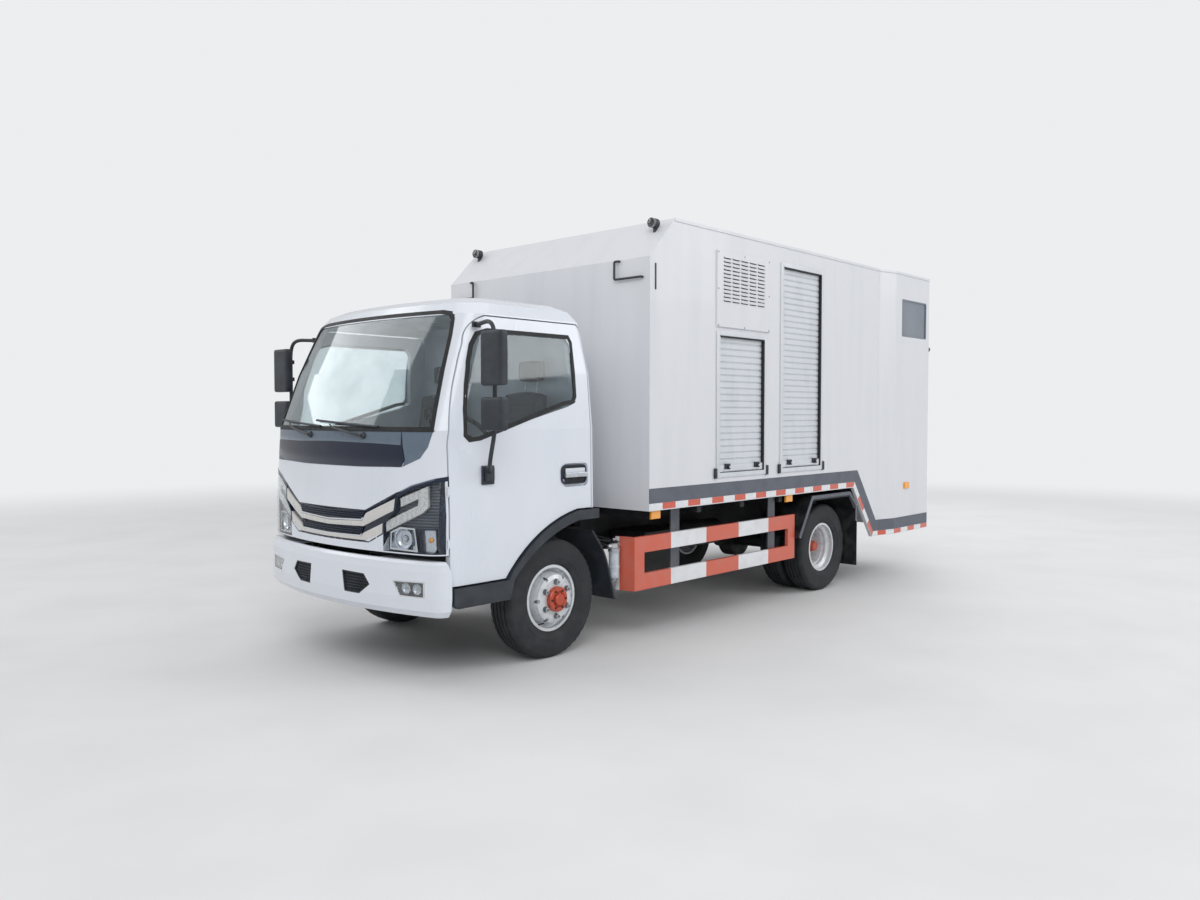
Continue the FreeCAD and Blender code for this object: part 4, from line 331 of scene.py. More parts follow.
def onFlank(skin, x, z, proud=0.0):
    # point of the skin's left side by its x
    _, half, _, cornerX = sectionAt(skin, z)
    if x <= cornerX:
        return Vector((x, half + proud, z))
    corner = skin["corner"]
    angle = pi / 2 - math.asin(min((x - cornerX) / corner, 1.0))
    radius = corner + proud
    return Vector((cornerX + radius * math.cos(angle), half - corner + radius * math.sin(angle), z))


def addPanel(piece, outline, inner, outer, look=0, skin=cab, where=onNose, flip=False, bevel=0.0, step=0.03):
    # slab that follows the skin, its faces inner and outer metres proud of it
    part = slabOf(outline, inner, outer)
    if bevel:
        softened(part, [e for e in part.edges if all(v.co.y > outer - 1e-6 for v in e.verts)], bevel)
    sliced(part, step, [level[0] for level in skin["levels"]])
    for vert in part.verts:
        point = where(skin, vert.co.x, vert.co.z, vert.co.y)
        vert.co = (point.x, -point.y, point.z) if flip else point
    absorb(piece, part, look)


def stripOutlines(path, width, closed=False):
    # four-cornered runs of a flat strip along the path, mitred at its corners
    last = len(path) - 1
    path = [Vector((u, v)) for u, v in path]
    edges = []
    for k, point in enumerate(path):
        before = path[k - 1] if closed or k else point
        after = path[(k + 1) % len(path)] if closed or k < last else point
        into = (point - before).normalized() if (point - before).length else (after - point).normalized()
        out = (after - point).normalized() if (after - point).length else into
        normal = Vector((-(into + out).y, (into + out).x)).normalized()
        reach = width / 2 / max(normal.dot(Vector((-into.y, into.x))), 0.4)
        edges.append((tuple(point + normal * reach), tuple(point - normal * reach)))
    beyond = edges[1:] + edges[:1] if closed else edges[1:]
    return [(a, c, d, b) for (a, b), (c, d) in zip(edges, beyond)]


def addStrip(piece, path, width, inner, outer, look=0, closed=False, **place):
    for outline in stripOutlines(path, width, closed):
        addPanel(piece, outline, inner, outer, look, **place)


def insideOutline(outline, u, v):
    crossings = 0
    for (u0, v0), (u1, v1) in zip(outline, outline[1:] + outline[:1]):
        if (v0 > v) != (v1 > v) and u < u0 + (v - v0) * (u1 - u0) / (v1 - v0):
            crossings += 1
    return crossings % 2 == 1


def addHoneycomb(piece, outline, cell, wire, inner, outer, look=0, skin=cab, flip=False):
    # hexagonal mesh of open cells, cell metres across flats, over the outline
    part = bmesh.new()
    (lowU, highU), (lowV, highV) = ((min(line), max(line)) for line in zip(*outline))
    rise = cell * math.sqrt(0.75)
    for row in range(int((highV - lowV) / rise) + 2):
        for column in range(int((highU - lowU) / cell) + 2):
            u = lowU + (column + 0.5 * (row % 2)) * cell
            v = lowV + row * rise
            if not insideOutline(outline, u, v):
                continue
            loops = []
            for size, depth in ((cell, outer), (cell - wire, outer), (cell - wire, inner)):
                corners = [(u + a, v + b) for b, a in hexagon(size / math.sqrt(3))]
                points = [onNose(skin, a, b, depth) for a, b in corners]
                loops.append([part.verts.new((p.x, -p.y if flip else p.y, p.z)) for p in points])
            joinLoops(part, loops)
    absorb(piece, part, look)


def hexagon(radius, phase=0.0):
    return [(radius * math.cos(phase + k * pi / 3), radius * math.sin(phase + k * pi / 3)) for k in range(6)]


def roundedBox(u0, u1, v0, v1, radius):
    # outline of a rectangle with round corners, four steps in each
    steps = 4
    corners = ((u1 - radius, v1 - radius), (u0 + radius, v1 - radius), (u0 + radius, v0 + radius),
               (u1 - radius, v0 + radius))
    outline = []
    for quarter, (u, v) in enumerate(corners):
        for step in range(steps + 1):
            angle = (quarter + step / steps) * pi / 2
            outline.append((u + radius * math.cos(angle), v + radius * math.sin(angle)))
    return outline


def finishPiece(name, piece, body, looks, replaced=(), sharp=35):
    bmesh.ops.recalc_face_normals(piece, faces=piece.faces)
    mesh = bpy.data.meshes.new(name)
    piece.to_mesh(mesh)
    piece.free()
    for look in looks:
        mesh.materials.append(look)
    mesh.shade_smooth()
    mesh.set_sharp_from_angle(angle=math.radians(sharp))
    thing = bpy.data.objects.new(name, mesh)
    bpy.context.scene.collection.objects.link(thing)
    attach(thing, body)
    if replaced:
        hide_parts(*replaced)
    return thing


def dress(look, *names):
    for name in names:
        node = nodes[name]
        if not node.material_slots:
            node.data.materials.append(look)
        node.material_slots[0].material = look


print("helpers ready")


# Painted steel of the cab: two-pack enamel sprayed on pressed sheet, so it is glossy with a faint orange peel
mat = startMaterial("cabEnamel", "#D8DDE6", 0.24, Coat_Weight=0.35, Coat_Roughness=0.08)
weathered(mat, cloudy(mat, 420, 4.0, (1, 1, 0.4)), "#DADFE8", "#D3D9E2", 0.2, 0.3)
embossed(mat, cloudy(mat, 6, 1.0), 0.00004)  # real orange peel is 2 mm, drawn coarser so that it shows
cabEnamel = mat.material

# Powder coat on folded sheet: satin, with shallow dents from welding and rain streaks under the roof edge
mat = startMaterial("bodyPowderCoat", "#D6D8DE", 0.4, Coat_Weight=0.12)
weathered(mat, cloudy(mat, 160, 5.0, (1, 1, 0.12)), "#D7D9DE", "#D0D3D8", 0.34, 0.48, 0.45, 0.85)
embossed(mat, cloudy(mat, 520, 1.0), 0.0015)
bodyCoat = mat.material

# Cathodic dip paint on the frame: even black with road dust lying on it
mat = startMaterial("dipPaintedSteel", "#15171A", 0.46)
weathered(mat, cloudy(mat, 90, 6.0), "#14161A", "#3A3B3B", 0.4, 0.75, 0.42, 0.85)
embossed(mat, cloudy(mat, 8), 0.0002)
chassisPaint = mat.material


# Moulded polypropylene: grained, soft grey sheen on its edges
def makeGrainedPlastic(name="mouldedPolypropylene", colour="#23282F", worn="#363C44"):
    mat = startMaterial(name, colour, 0.5)
    tinted(mat, cloudy(mat, 120), colour, worn)
    embossed(mat, cellular(mat, 3.0), 0.00025, 0.6)  # 1 mm grain drawn at 3 mm
    return mat.material


# Injection-moulded ABS, polished in the mould and clear coated: piano black
def makeGlossPlastic(name="pianoBlackPlastic", colour="#0A1830", roughness=0.16, worn="#10203A"):
    mat = startMaterial(name, colour, roughness, Coat_Weight=0.1, Coat_Roughness=0.05)
    weathered(mat, cloudy(mat, 60, 4.0), colour, worn, roughness, roughness + 0.08, 0.5, 0.9)
    return mat.material


# Champagne lacquer over ABS: satin with fine metal flake
mat = startMaterial("champagneLacquer", "#CFCECD", 0.28, 0.1, Coat_Weight=0.5)
tinted(mat, cellular(mat, 2.0, "Color"), "#D2D1CF", "#C4C2C0", 0.1, 0.9)
roughened(mat, cloudy(mat, 80), 0.24, 0.34)
champagne = mat.material

# Chrome plate on ABS: mirror bright with a faint wave from the moulding
mat = startMaterial("chromePlatedPlastic", "#D9DCE0", 0.07, 1.0)
roughened(mat, cloudy(mat, 30), 0.05, 0.12)
embossed(mat, cloudy(mat, 70, 1.0), 0.0004)
chromePlate = mat.material

# Float glass, toughened: clear with a green-grey cast and thin dust towards its edges
mat = startMaterial("toughenedFloatGlass", "#DCE8EA", 0.02, IOR=1.5, Transmission_Weight=1.0)
weathered(mat, cloudy(mat, 260, 4.0), "#E2ECEE", "#CBD8DC", 0.01, 0.05, 0.45, 0.8)
windowGlass = mat.material

# Body-coloured grey glass of the rear section: nearly opaque
mat = startMaterial("greyPrivacyGlass", "#7A838E", 0.12, Coat_Weight=0.4, Coat_Roughness=0.02)
tinted(mat, cloudy(mat, 300), "#7D8691", "#727B86")
roughened(mat, cloudy(mat, 90), 0.08, 0.2)
greyGlass = mat.material

# Vulcanised rubber, black with a bloom of dry dust on the sidewalls
mat = startMaterial("vulcanisedTyreRubber", "#22252A", 0.72)
weathered(mat, cloudy(mat, 70, 6.0), "#1D2025", "#3B3D40", 0.62, 0.85, 0.4, 0.85)
embossed(mat, cloudy(mat, 7), 0.0003)
tyreRubber = mat.material

# Extruded EPDM seal: deep matt black
mat = startMaterial("extrudedSealRubber", "#16191D", 0.62)
roughened(mat, cloudy(mat, 40), 0.55, 0.75)
embossed(mat, cloudy(mat, 5), 0.0001)
sealRubber = mat.material

# Where the axles lie along x, how high they are, and how far the red of a hub reaches
axles = {"front": 2.04, "rear": -1.268, "height": 0.386, "hubRadius": 0.0815}

# Wheels: silver lacquer on pressed steel, red-oxide enamel on the hub
mat = startMaterial("silverWheelLacquer", "#CDD1D5", 0.36, 0.25, Coat_Weight=0.2)
tree = mat.tree
halfway = (axles["front"] + axles["rear"]) / 2
offset = maths(tree, "ABSOLUTE", maths(tree, "SUBTRACT", placeAlong(mat, 0), halfway))
fromAxle = maths(tree, "SUBTRACT", offset, axles["front"] - halfway)
height = maths(tree, "SUBTRACT", placeAlong(mat, 2), axles["height"])
flat = addNode(tree, "CombineXYZ", {0: fromAxle, 1: height}).outputs[0]
radius = addNode(tree, "VectorMath", {0: flat}, operation="LENGTH").outputs["Value"]
dirt = cloudy(mat, 35, 5.0)
steel = weathered(mat, dirt, "#D3D7DB", "#A9ABAA", 0.3, 0.5, 0.5, 0.9)
red = mixed(tree, dirt, "#D4583C", "#93402F")
feed(mat, "Base Color", mixed(tree, maths(tree, "LESS_THAN", radius, axles["hubRadius"]), steel, red))
embossed(mat, cloudy(mat, 12), 0.0002)
wheelLacquer = mat.material


# Bare or zinc-plated steel fittings: brushed, dulled by oxide
def makeBareSteel(name="zincPlatedSteel", colour="#9A9EA3", dull="#6E7175"):
    mat = startMaterial(name, colour, 0.38, 0.9)
    weathered(mat, cloudy(mat, 25, 6.0), colour, dull, 0.3, 0.55)
    return mat.material


# Sand-cast iron: coarse, dark grey-brown
mat = startMaterial("sandCastIron", "#3C3B39", 0.66, 0.5)
weathered(mat, cloudy(mat, 45, 7.0), "#37383A", "#574A3F", 0.55, 0.8, 0.5, 0.85)
embossed(mat, cloudy(mat, 9, 5.0), 0.0006)
castIron = mat.material

# Roll-formed aluminium slats, white coil coating: smooth with thin grey dirt in the joints
mat = startMaterial("coilCoatedAluminium", "#D0D4DA", 0.34, 0.1)
weathered(mat, cloudy(mat, 110, 5.0, (1, 1, 0.25)), "#D2D6DC", "#C3C8CF", 0.3, 0.45, 0.45, 0.85)
slatCoat = mat.material

# Brush-painted guard rails: orange-red and white bands of equal length, their posts frame black
guardPaintPlan = {"start": 1.003, "pitch": 0.4255, "postY": 0.9925, "postX": 1.37}
mat = startMaterial("bandedGuardPaint", "#D2573B", 0.34, Coat_Weight=0.25)
tree = mat.tree
bands = mixed(tree, byTurns(mat, 0, guardPaintPlan["start"], guardPaintPlan["pitch"]), "#CB5F49", "#DDE0E4")
# the posts lie behind the bars, nearer the middle than postY and further back than postX
inside = maths(tree, "LESS_THAN", maths(tree, "ABSOLUTE", placeAlong(mat, 1)), guardPaintPlan["postY"])
behind = maths(tree, "LESS_THAN", placeAlong(mat, 0), guardPaintPlan["postX"])
both = mixed(tree, maths(tree, "MULTIPLY", inside, behind), bands, "#3A414B")
grime = cloudy(mat, 130, 5.0)
feed(mat, "Base Color", mixed(tree, ranged(tree, grime, 0.45, 0.9, 0.0, 0.35), both, "#A9908A"))
roughened(mat, grime, 0.3, 0.48)
embossed(mat, cloudy(mat, 18), 0.0002)
guardPaint = mat.material


# Retroreflective tape: honeycomb cells sealed under clear film
def makeReflectiveTape(name, colour, cellColour):
    mat = startMaterial(name, colour, 0.2, Coat_Weight=0.6, Coat_Roughness=0.05)
    tinted(mat, cellular(mat, 9.0, feature="DISTANCE_TO_EDGE"), cellColour, colour, 0.02, 0.08)
    return mat.material


# Polycarbonate lamp lenses, moulded in clear or colour with fine prisms inside
def makeLampLens(name, colour, clear=0.0, roughness=0.08):
    mat = startMaterial(name, colour, roughness, IOR=1.58, Transmission_Weight=clear, Coat_Weight=0.5)
    embossed(mat, cellular(mat, 6.0), 0.0006, 0.5)
    roughened(mat, cloudy(mat, 30), roughness, roughness + 0.1)
    return mat.material


# Hard-coated outer lens: clear, polished, a trace of wash scratches
mat = startMaterial("hardCoatedOuterLens", "#F4F6F8", 0.02, IOR=1.2, Transmission_Weight=1.0)
roughened(mat, cloudy(mat, 40), 0.0, 0.03)
coverLens = mat.material

# Frosted light guide of the running lamp: warm white with rows of dots
mat = startMaterial("frostedLightGuide", "#E9E4DA", 0.3, Coat_Weight=0.7)
dots = cellular(mat, 9.0, randomness=0.7)
tinted(mat, dots, "#E6E5E1", "#BFC0BF", 0.35, 0.6)
embossed(mat, dots, 0.001, 0.6)
lightGuide = mat.material

# Ribbed dark bezel inside the lamp: moulded ABS, horizontal flutes; the grooves are painted darker and the
# crests lighter, as painted shade and highlight
mat = startMaterial("flutedLampBezel", "#3C434E", 0.3, Coat_Weight=0.4)
flutesWithPaintedShade = wavy(mat, 9.0, "Z")
# painted shade in the flute grooves and painted highlight on their crests, following the relief
tinted(mat, flutesWithPaintedShade, "#2A3039", "#565E69", 0.2, 0.8)
embossed(mat, flutesWithPaintedShade, 0.002)
flutedBezel = mat.material

# Woven polyester seat cloth: 3 mm thread drawn at 6 mm so that it shows, with a soft sheen
mat = startMaterial("wovenSeatCloth", "#4C525B", 0.85, Sheen_Weight=0.3)
weave = maths(mat.tree, "MULTIPLY", wavy(mat, 6.0, "Y"), wavy(mat, 6.0, "Z"))
tinted(mat, weave, "#33383F", "#4C525B", 0.1, 0.6)
embossed(mat, weave, 0.0008)
seatCloth = mat.material


# Slush-moulded PVC skin of the dash and trims: fine leather grain, low sheen
def makeSoftPlastic(name, colour, worn):
    mat = startMaterial(name, colour, 0.58)
    tinted(mat, cloudy(mat, 150), colour, worn)
    embossed(mat, cellular(mat, 4.0), 0.0003, 0.7)
    return mat.material


# Silvered convex glass: clean mirror with a grey cast
mat = startMaterial("silveredMirrorGlass", "#C4CBD2", 0.03, 1.0)
roughened(mat, cloudy(mat, 50), 0.02, 0.07)
mirrorSilver = mat.material

# Aluminium vapour on the lamp bowl: bright and slightly frosted
mat = startMaterial("aluminisedReflector", "#C9CED4", 0.18, 0.9)
roughened(mat, cloudy(mat, 25), 0.12, 0.3)
embossed(mat, cloudy(mat, 14, 2.0), 0.0012)
lampReflector = mat.material

# Tumbled polyamide bowl of the filter: milky, slightly wet with fuel dust
mat = startMaterial("milkyPolyamide", "#BCC5CE", 0.35, Coat_Weight=0.3)
tinted(mat, cloudy(mat, 30, 4.0), "#C2CAD2", "#A3ACB5")
filterBowl = mat.material

grainedPlastic = makeGrainedPlastic()
glossBlack = makeGlossPlastic()
cowlGrey = makeGlossPlastic("cowlSmokedPanel", "#5E6C7B", 0.14, "#556372")
zincSteel = makeBareSteel()
polishedRod = makeBareSteel("groundGuideRod", "#B4B8BC", "#93979B")
whiteTape = makeReflectiveTape("whiteReflectiveTape", "#E6E9EC", "#B9BEC4")
redTape = makeReflectiveTape("redReflectiveTape", "#D5573E", "#A63B28")
clearLens = makeLampLens("clearPolycarbonate", "#F1F4F5", 1.0, 0.03)
amberLens = makeLampLens("amberPolycarbonate", "#F0A13A")
redLens = makeLampLens("redPolycarbonate", "#B3261F")
seatVinyl = makeSoftPlastic("seatSideVinyl", "#2C3036", "#3A3F46")
dashSkin = makeSoftPlastic("dashSkin", "#8E949B", "#7C8289")
bandPaint = makeGrainedPlastic("greySkirtPaint", "#5C616C", "#525762")
aluminium = makeBareSteel("anodisedAluminium", "#C6C9CC", "#AEB2B6")
satinSilver = makeBareSteel("satinPlatedHandle", "#C9CDD2", "#B2B7BD")
print("materials ready")

# CAD nodes that stay take the finish of the real piece
dress(cabEnamel, "cab_roof", "cab_side_frames", "cab_back_wall", "cab_front_panel", "door_left",
      "door_right", "front_bumper")
dress(bodyCoat, "body_side_left", "body_side_right", "body_front_wall", "body_roof", "rear_portal",
      "rear_hatch", "louvre_panels")
dress(chassisPaint, "frame_rails", "cross_members", "body_subframe", "body_bearers", "front_axle",
      "rear_axle", "knuckle_left", "knuckle_right", "tie_rod", "battery_box", "air_tanks", "body_floor",
      "rear_mudguards", "cab_floor", "fuel_tank")
dress(castIron, "engine", "exhaust")
dress(windowGlass, "cab_glass", "door_glass_left", "door_glass_right")
dress(greyGlass, "body_windows")
dress(grainedPlastic, "arch_flares", "work_lamps", "rear_work_lamps")
dress(slatCoat, "shutter_curtains")
dress(guardPaint, "side_guards")
dress(amberLens, "side_markers")
dress(redLens, "tail_lamps")
dress(aluminium, "lift_carriage")
dress(dashSkin, "dashboard")
dress(wheelLacquer, "rim_front_left", "rim_front_right", "rims_rear_left", "rims_rear_right")
dress(sealRubber, "steering_wheel")
print("frame dressed")

# Ribbed truck tyre: five ribs between zigzag grooves, notched shoulders, ringed sidewalls
tyre = {"zigzag": 0.0022, "notch": 0.0045, "turns": 144, "lastRib": 8, "shoulder": 10, "front": (0.778,),
        "rear": (0.632, 0.867),
        "half": ((0.386, 0.0), (0.386, 0.012), (0.3745, 0.0135), (0.3745, 0.0205), (0.3858, 0.022),
                 (0.3852, 0.046), (0.374, 0.0475), (0.374, 0.0545), (0.3845, 0.056), (0.382, 0.076),
                 (0.3775, 0.086), (0.366, 0.0945), (0.356, 0.0972), (0.3545, 0.0962), (0.34, 0.099),
                 (0.315, 0.1005), (0.29, 0.0998), (0.27, 0.0975), (0.268, 0.0987), (0.264, 0.0985),
                 (0.262, 0.0962), (0.245, 0.0915), (0.233, 0.086), (0.227, 0.083), (0.2235, 0.0775),
                 (0.206, 0.0745))}


def makeTyre(name, body, side, axle, replacedNode):
    piece = bmesh.new()
    half = tyre["half"]
    profile = [(r, -w) for r, w in reversed(half[1:])] + list(half)

    def stir(turn, k):
        place = k - len(half) + 1
        if 1 <= abs(place) <= tyre["lastRib"]:
            return 0.0, tyre["zigzag"] if turn % 4 < 2 else -tyre["zigzag"]
        if abs(place) == tyre["shoulder"] and turn % 3 == 0:
            return -tyre["notch"], math.copysign(0.001, -place)
        return 0.0, 0.0

    for y in tyre[axle]:
        addLathe(piece, profile, (axles[axle], side * y, axles["height"]), (0, 1, 0), 0, tyre["turns"], stir)
    finishPiece(name, piece, body, [tyreRubber], (replacedNode,), 28)


for side, word in sides:
    low = word.lower()
    makeTyre("ribbedTyreFront" + word, f"front_{low}_wheel", side, "front", "tyre_front_" + low)
    makeTyre("ribbedTyresRear" + word, f"rear_{low}_wheels", side, "rear", "tyres_rear_" + low)
print("tyres ready")

# Wheel nuts, studs, valves and hub bolts; an axle's three numbers are wheel face y, valve turn and valve y
wheelFit = {"nuts": 6, "circle": 0.111, "across": 0.0155, "length": 0.022, "front": (0.8955, -0.95, 0.845),
            "rear": (0.7595, 0.5, 0.86), "hubCircle": 0.06, "hubAcross": 0.0075, "hubY": 0.925,
            "valveCircle": 0.196}


def makeWheelFittings(name, body, side, axle):
    piece = bmesh.new()
    faceY, valveTurn, valveY = wheelFit[axle]

    def at(circle, angle):
        return axles[axle] + circle * math.cos(angle), axles["height"] + circle * math.sin(angle)

    def hexBolt(centre, across, angle, y, length, look, bevel):
        outline = [(centre[0] + u, centre[1] + v) for u, v in hexagon(across, angle)]
        addPrism(piece, outline, "y", side * y, side * (y + length), look, bevel)

    for k in range(wheelFit["nuts"]):
        angle = 2 * pi * (k + 0.5) / wheelFit["nuts"]
        x, z = at(wheelFit["circle"], angle)
        hexBolt((x, z), wheelFit["across"], angle, faceY, wheelFit["length"], 0, 0.0015)
        stud = [(0, 0), (0.009, 0), (0.009, 0.03), (0.007, 0.033), (0, 0.033)]
        washer = [(0.014, 0), (0.021, 0.0), (0.02, 0.003), (0.014, 0.004)]
        for profile, turns in ((stud, 12), (washer, 24)):
            addLathe(piece, profile, (x, side * faceY, z), (0, side, 0), 0, turns)
    if axle == "front":
        for k in range(6):
            angle = k * pi / 3
            centre = at(wheelFit["hubCircle"], angle)
            hexBolt(centre, wheelFit["hubAcross"], angle, wheelFit["hubY"], 0.007, 1, 0.0008)
    (footX, footZ), (tipX, tipZ) = (at(wheelFit["valveCircle"] - inward, valveTurn) for inward in (0, 0.02))
    addTube(piece, [(footX, side * valveY, footZ), (tipX, side * (valveY + 0.045), tipZ)], 0.004, 2, 8)
    finishPiece(name, piece, body, [zincSteel, castIron, sealRubber])


for side, word in sides:
    makeWheelFittings("wheelFittingsFront" + word, f"front_{word.lower()}_wheel", side, "front")
    makeWheelFittings("wheelFittingsRear" + word, f"rear_{word.lower()}_wheels", side, "rear")
print("wheel fittings ready")

# Headlamp cluster behind a clear lens: fluted bezel, hooked running lamp, square reflector, turn lamp.
# Outlines on the cab are way round and height, spans tell how far proud the two faces of a panel are.
headlamp = {
    "outline": [(0.513, 0.766), (0.525, 0.867), (0.529, 0.937), (0.614, 1.007), (0.635, 1.117),
                (0.738, 1.164), (0.894, 1.204), (0.968, 1.212), (0.974, 0.768)],
    "guide": [(0.648, 1.086), (0.847, 1.162), (0.857, 1.04), (0.815, 1.004), (0.54, 0.884), (0.538, 0.944),
              (0.782, 1.05), (0.783, 1.087), (0.655, 1.036)],
    "reflector": [(0.58, 0.884), (0.652, 0.915), (0.757, 0.912), (0.776, 0.785), (0.574, 0.79)],
    "turn": [(0.79, 0.912), (0.906, 0.912), (0.911, 0.8), (0.893, 0.775), (0.801, 0.777)],
    "outerEdge": [(0.925, 0.775), (0.925, 1.196), (0.968, 1.205), (0.97, 0.775)],
    "topBand": [(0.636, 1.106), (0.738, 1.151), (0.894, 1.194), (0.968, 1.205)],
    "topStrip": [(0.66, 1.127), (0.738, 1.16), (0.894, 1.203)],
    "depth": 0.046, "floor": 0.006, "wall": 0.012, "edgeSpan": (-0.03, -0.004), "guideSpan": (-0.034, -0.01),
    "boxDepth": 0.042, "boxFloor": 0.004,
    "boxes": (("reflector", 0.01, -0.01, 3), ("turn", 0.006, -0.012, 1)),
    "dish": (0.67, 0.85, -0.04), "splay": 0.25,
    "bulbs": ((0.67, 0.85, -0.04, 0.022, 4), (0.862, 0.85, -0.038, 0.016, 5)),
    "dishForm": [(0.06, 0.026), (0.058, 0.018), (0.052, 0.008), (0.042, 0.002), (0.026, -0.002),
                 (0.0, -0.003)],
    "dishRim": [(0.062, 0.02), (0.063, 0.028), (0.058, 0.028)],
}


def bowlProfile(radius, depth):
    return [(radius * math.cos(k * pi / 16), depth * math.sin(k * pi / 16)) for k in range(9)]


def addTurned(piece, side, centre, profile, look, turns):
    # turned form on the cab's front that looks forward and a little outward
    axis = (1, side * headlamp["splay"], 0)
    addLathe(piece, profile, (centre.x, side * centre.y, centre.z), axis, look, turns)


def makeHeadlamp(side, word):
    piece = bmesh.new()
    panel, strip = (partial(form, piece, flip=side < 0) for form in (addPanel, addStrip))
    outline, depth, boxDepth = headlamp["outline"], headlamp["depth"], headlamp["boxDepth"]
    panel(outline, -depth, -depth + headlamp["floor"], 0)
    strip(outline, headlamp["wall"], -depth, -0.001, 1, True)
    panel(headlamp["outerEdge"], *headlamp["edgeSpan"], 1)
    panel(headlamp["guide"], *headlamp["guideSpan"], 2, bevel=0.004)
    for box, width, rim, look in headlamp["boxes"]:
        panel(headlamp[box], -boxDepth, -boxDepth + headlamp["boxFloor"], 7)
        strip(headlamp[box], width, -boxDepth, rim, look, True)
    dish = onNose(cab, *headlamp["dish"])
    addTurned(piece, side, dish, headlamp["dishForm"], 7, 36)
    addTurned(piece, side, dish, headlamp["dishRim"], 3, 36)
    for along, z, proud, radius, look in headlamp["bulbs"]:
        addTurned(piece, side, onNose(cab, along, z, proud), bowlProfile(radius, radius * 0.6), look, 24)
    strip(headlamp["topBand"], 0.026, -0.004, 0.0015, 1)
    strip(headlamp["topStrip"], 0.007, -0.004, 0.0028, 6)
    looks = [flutedBezel, glossBlack, lightGuide, chromePlate, clearLens, amberLens, cowlGrey, lampReflector]
    replaced = ("headlamps",) if side > 0 else ()
    finishPiece("headlampCluster" + word, piece, "cab", looks, replaced)
    cover = bmesh.new()
    addPanel(cover, outline, -0.0035, -0.0005, 0, flip=side < 0)
    finishPiece("headlampCover" + word, cover, "cab", [coverLens])


for side, word in sides:
    makeHeadlamp(side, word)
print("headlamps ready")

# Grille: two honeycomb bands under chrome lips, champagne wing bars that sweep up to the lamps
grille = {
    "field": [(0.0, 0.986), (0.375, 1.002), (0.538, 1.066), (0.622, 1.112), (0.612, 1.007), (0.527, 0.937),
              (0.523, 0.874), (0.4, 0.815), (0.0, 0.812)],
    "meshes": ([(0.362, 0.996), (0.345, 0.952), (0.0, 0.941)],
               [(0.0, 0.888), (0.35, 0.9), (0.332, 0.852), (0.0, 0.846)]),
    "wings": ([(0.0, 0.923), (0.34, 0.938), (0.376, 0.985), (0.621, 1.086), (0.606, 1.012), (0.352, 0.906),
               (0.0, 0.895)],
              [(0.0, 0.838), (0.33, 0.842), (0.352, 0.866), (0.519, 0.934), (0.511, 0.874), (0.396, 0.822),
               (0.0, 0.819)]),
    "lips": ([(0.35, 0.956), (0.335, 0.944), (0.0, 0.931)], [(0.338, 0.858), (0.325, 0.847), (0.0, 0.841)]),
    "cell": 0.015, "wire": 0.0045, "fieldSpan": (-0.018, -0.013), "meshSpan": (-0.013, -0.005),
    "wingSpan": (-0.014, -0.001), "lipSpan": (-0.012, -0.0002), "lipWidth": 0.009, "rim": 0.008,
}
piece = bmesh.new()
field = mirrored(grille["field"])
addPanel(piece, field, *grille["fieldSpan"], 1)
addStrip(piece, field, grille["rim"], grille["fieldSpan"][0], 0.0, 1, True)
for mesh, wing, lip in zip(grille["meshes"], grille["wings"], grille["lips"]):
    addHoneycomb(piece, mirrored(mesh), grille["cell"], grille["wire"], *grille["meshSpan"], 1)
    addPanel(piece, mirrored(wing), *grille["wingSpan"], 0, bevel=0.003)
    addStrip(piece, mirrored(lip), grille["lipWidth"], *grille["lipSpan"], 2)
finishPiece("grilleWithWings", piece, "cab", [champagne, glossBlack, chromePlate], ("grille",))
print("grille ready")

# Cowl: navy gloss panel with a smoked band above it, and two wipers parked at its top
cowl = {
    "hole": [(-0.93, 1.306), (-0.86, 1.266), (0.64, 1.266), (0.872, 1.476), (-0.93, 1.476)],
    "band": [(0.652, 1.389), (0.674, 1.311), (0.656, 1.268), (0.315, 1.261), (-0.315, 1.261), (-0.656, 1.268),
             (-0.9, 1.31), (-0.88, 1.4), (-0.412, 1.398), (0.0, 1.405), (0.412, 1.398)],
    "corner": [(0.66, 1.268), (0.79, 1.32), (0.84, 1.383), (0.868, 1.473), (0.646, 1.473), (0.658, 1.389),
               (0.68, 1.311)],
    "upper": [(0.64, 1.394), (0.412, 1.402), (0.0, 1.409), (-0.412, 1.402), (-0.88, 1.404), (-0.872, 1.473),
              (0.64, 1.473)],
    "lip": [(-0.872, 1.478), (0.872, 1.478)], "lipWidth": 0.014, "lipSpan": (-0.012, 0.003),
    "holeSpan": (-0.016, 0.0004), "bandSpan": (-0.004, 0.002), "smokedSpan": (-0.004, 0.0014),
}
piece = bmesh.new()
addPanel(piece, cowl["hole"], *cowl["holeSpan"], 0)
addPanel(piece, cowl["band"], *cowl["bandSpan"], 0, bevel=0.001)
for part in ("corner", "upper"):
    addPanel(piece, cowl[part], *cowl["smokedSpan"], 1, bevel=0.0008)
addStrip(piece, cowl["lip"], cowl["lipWidth"], *cowl["lipSpan"], 2)
finishPiece("cowlPanel", piece, "cab", [glossBlack, cowlGrey, sealRubber], ("cowl_panel",))

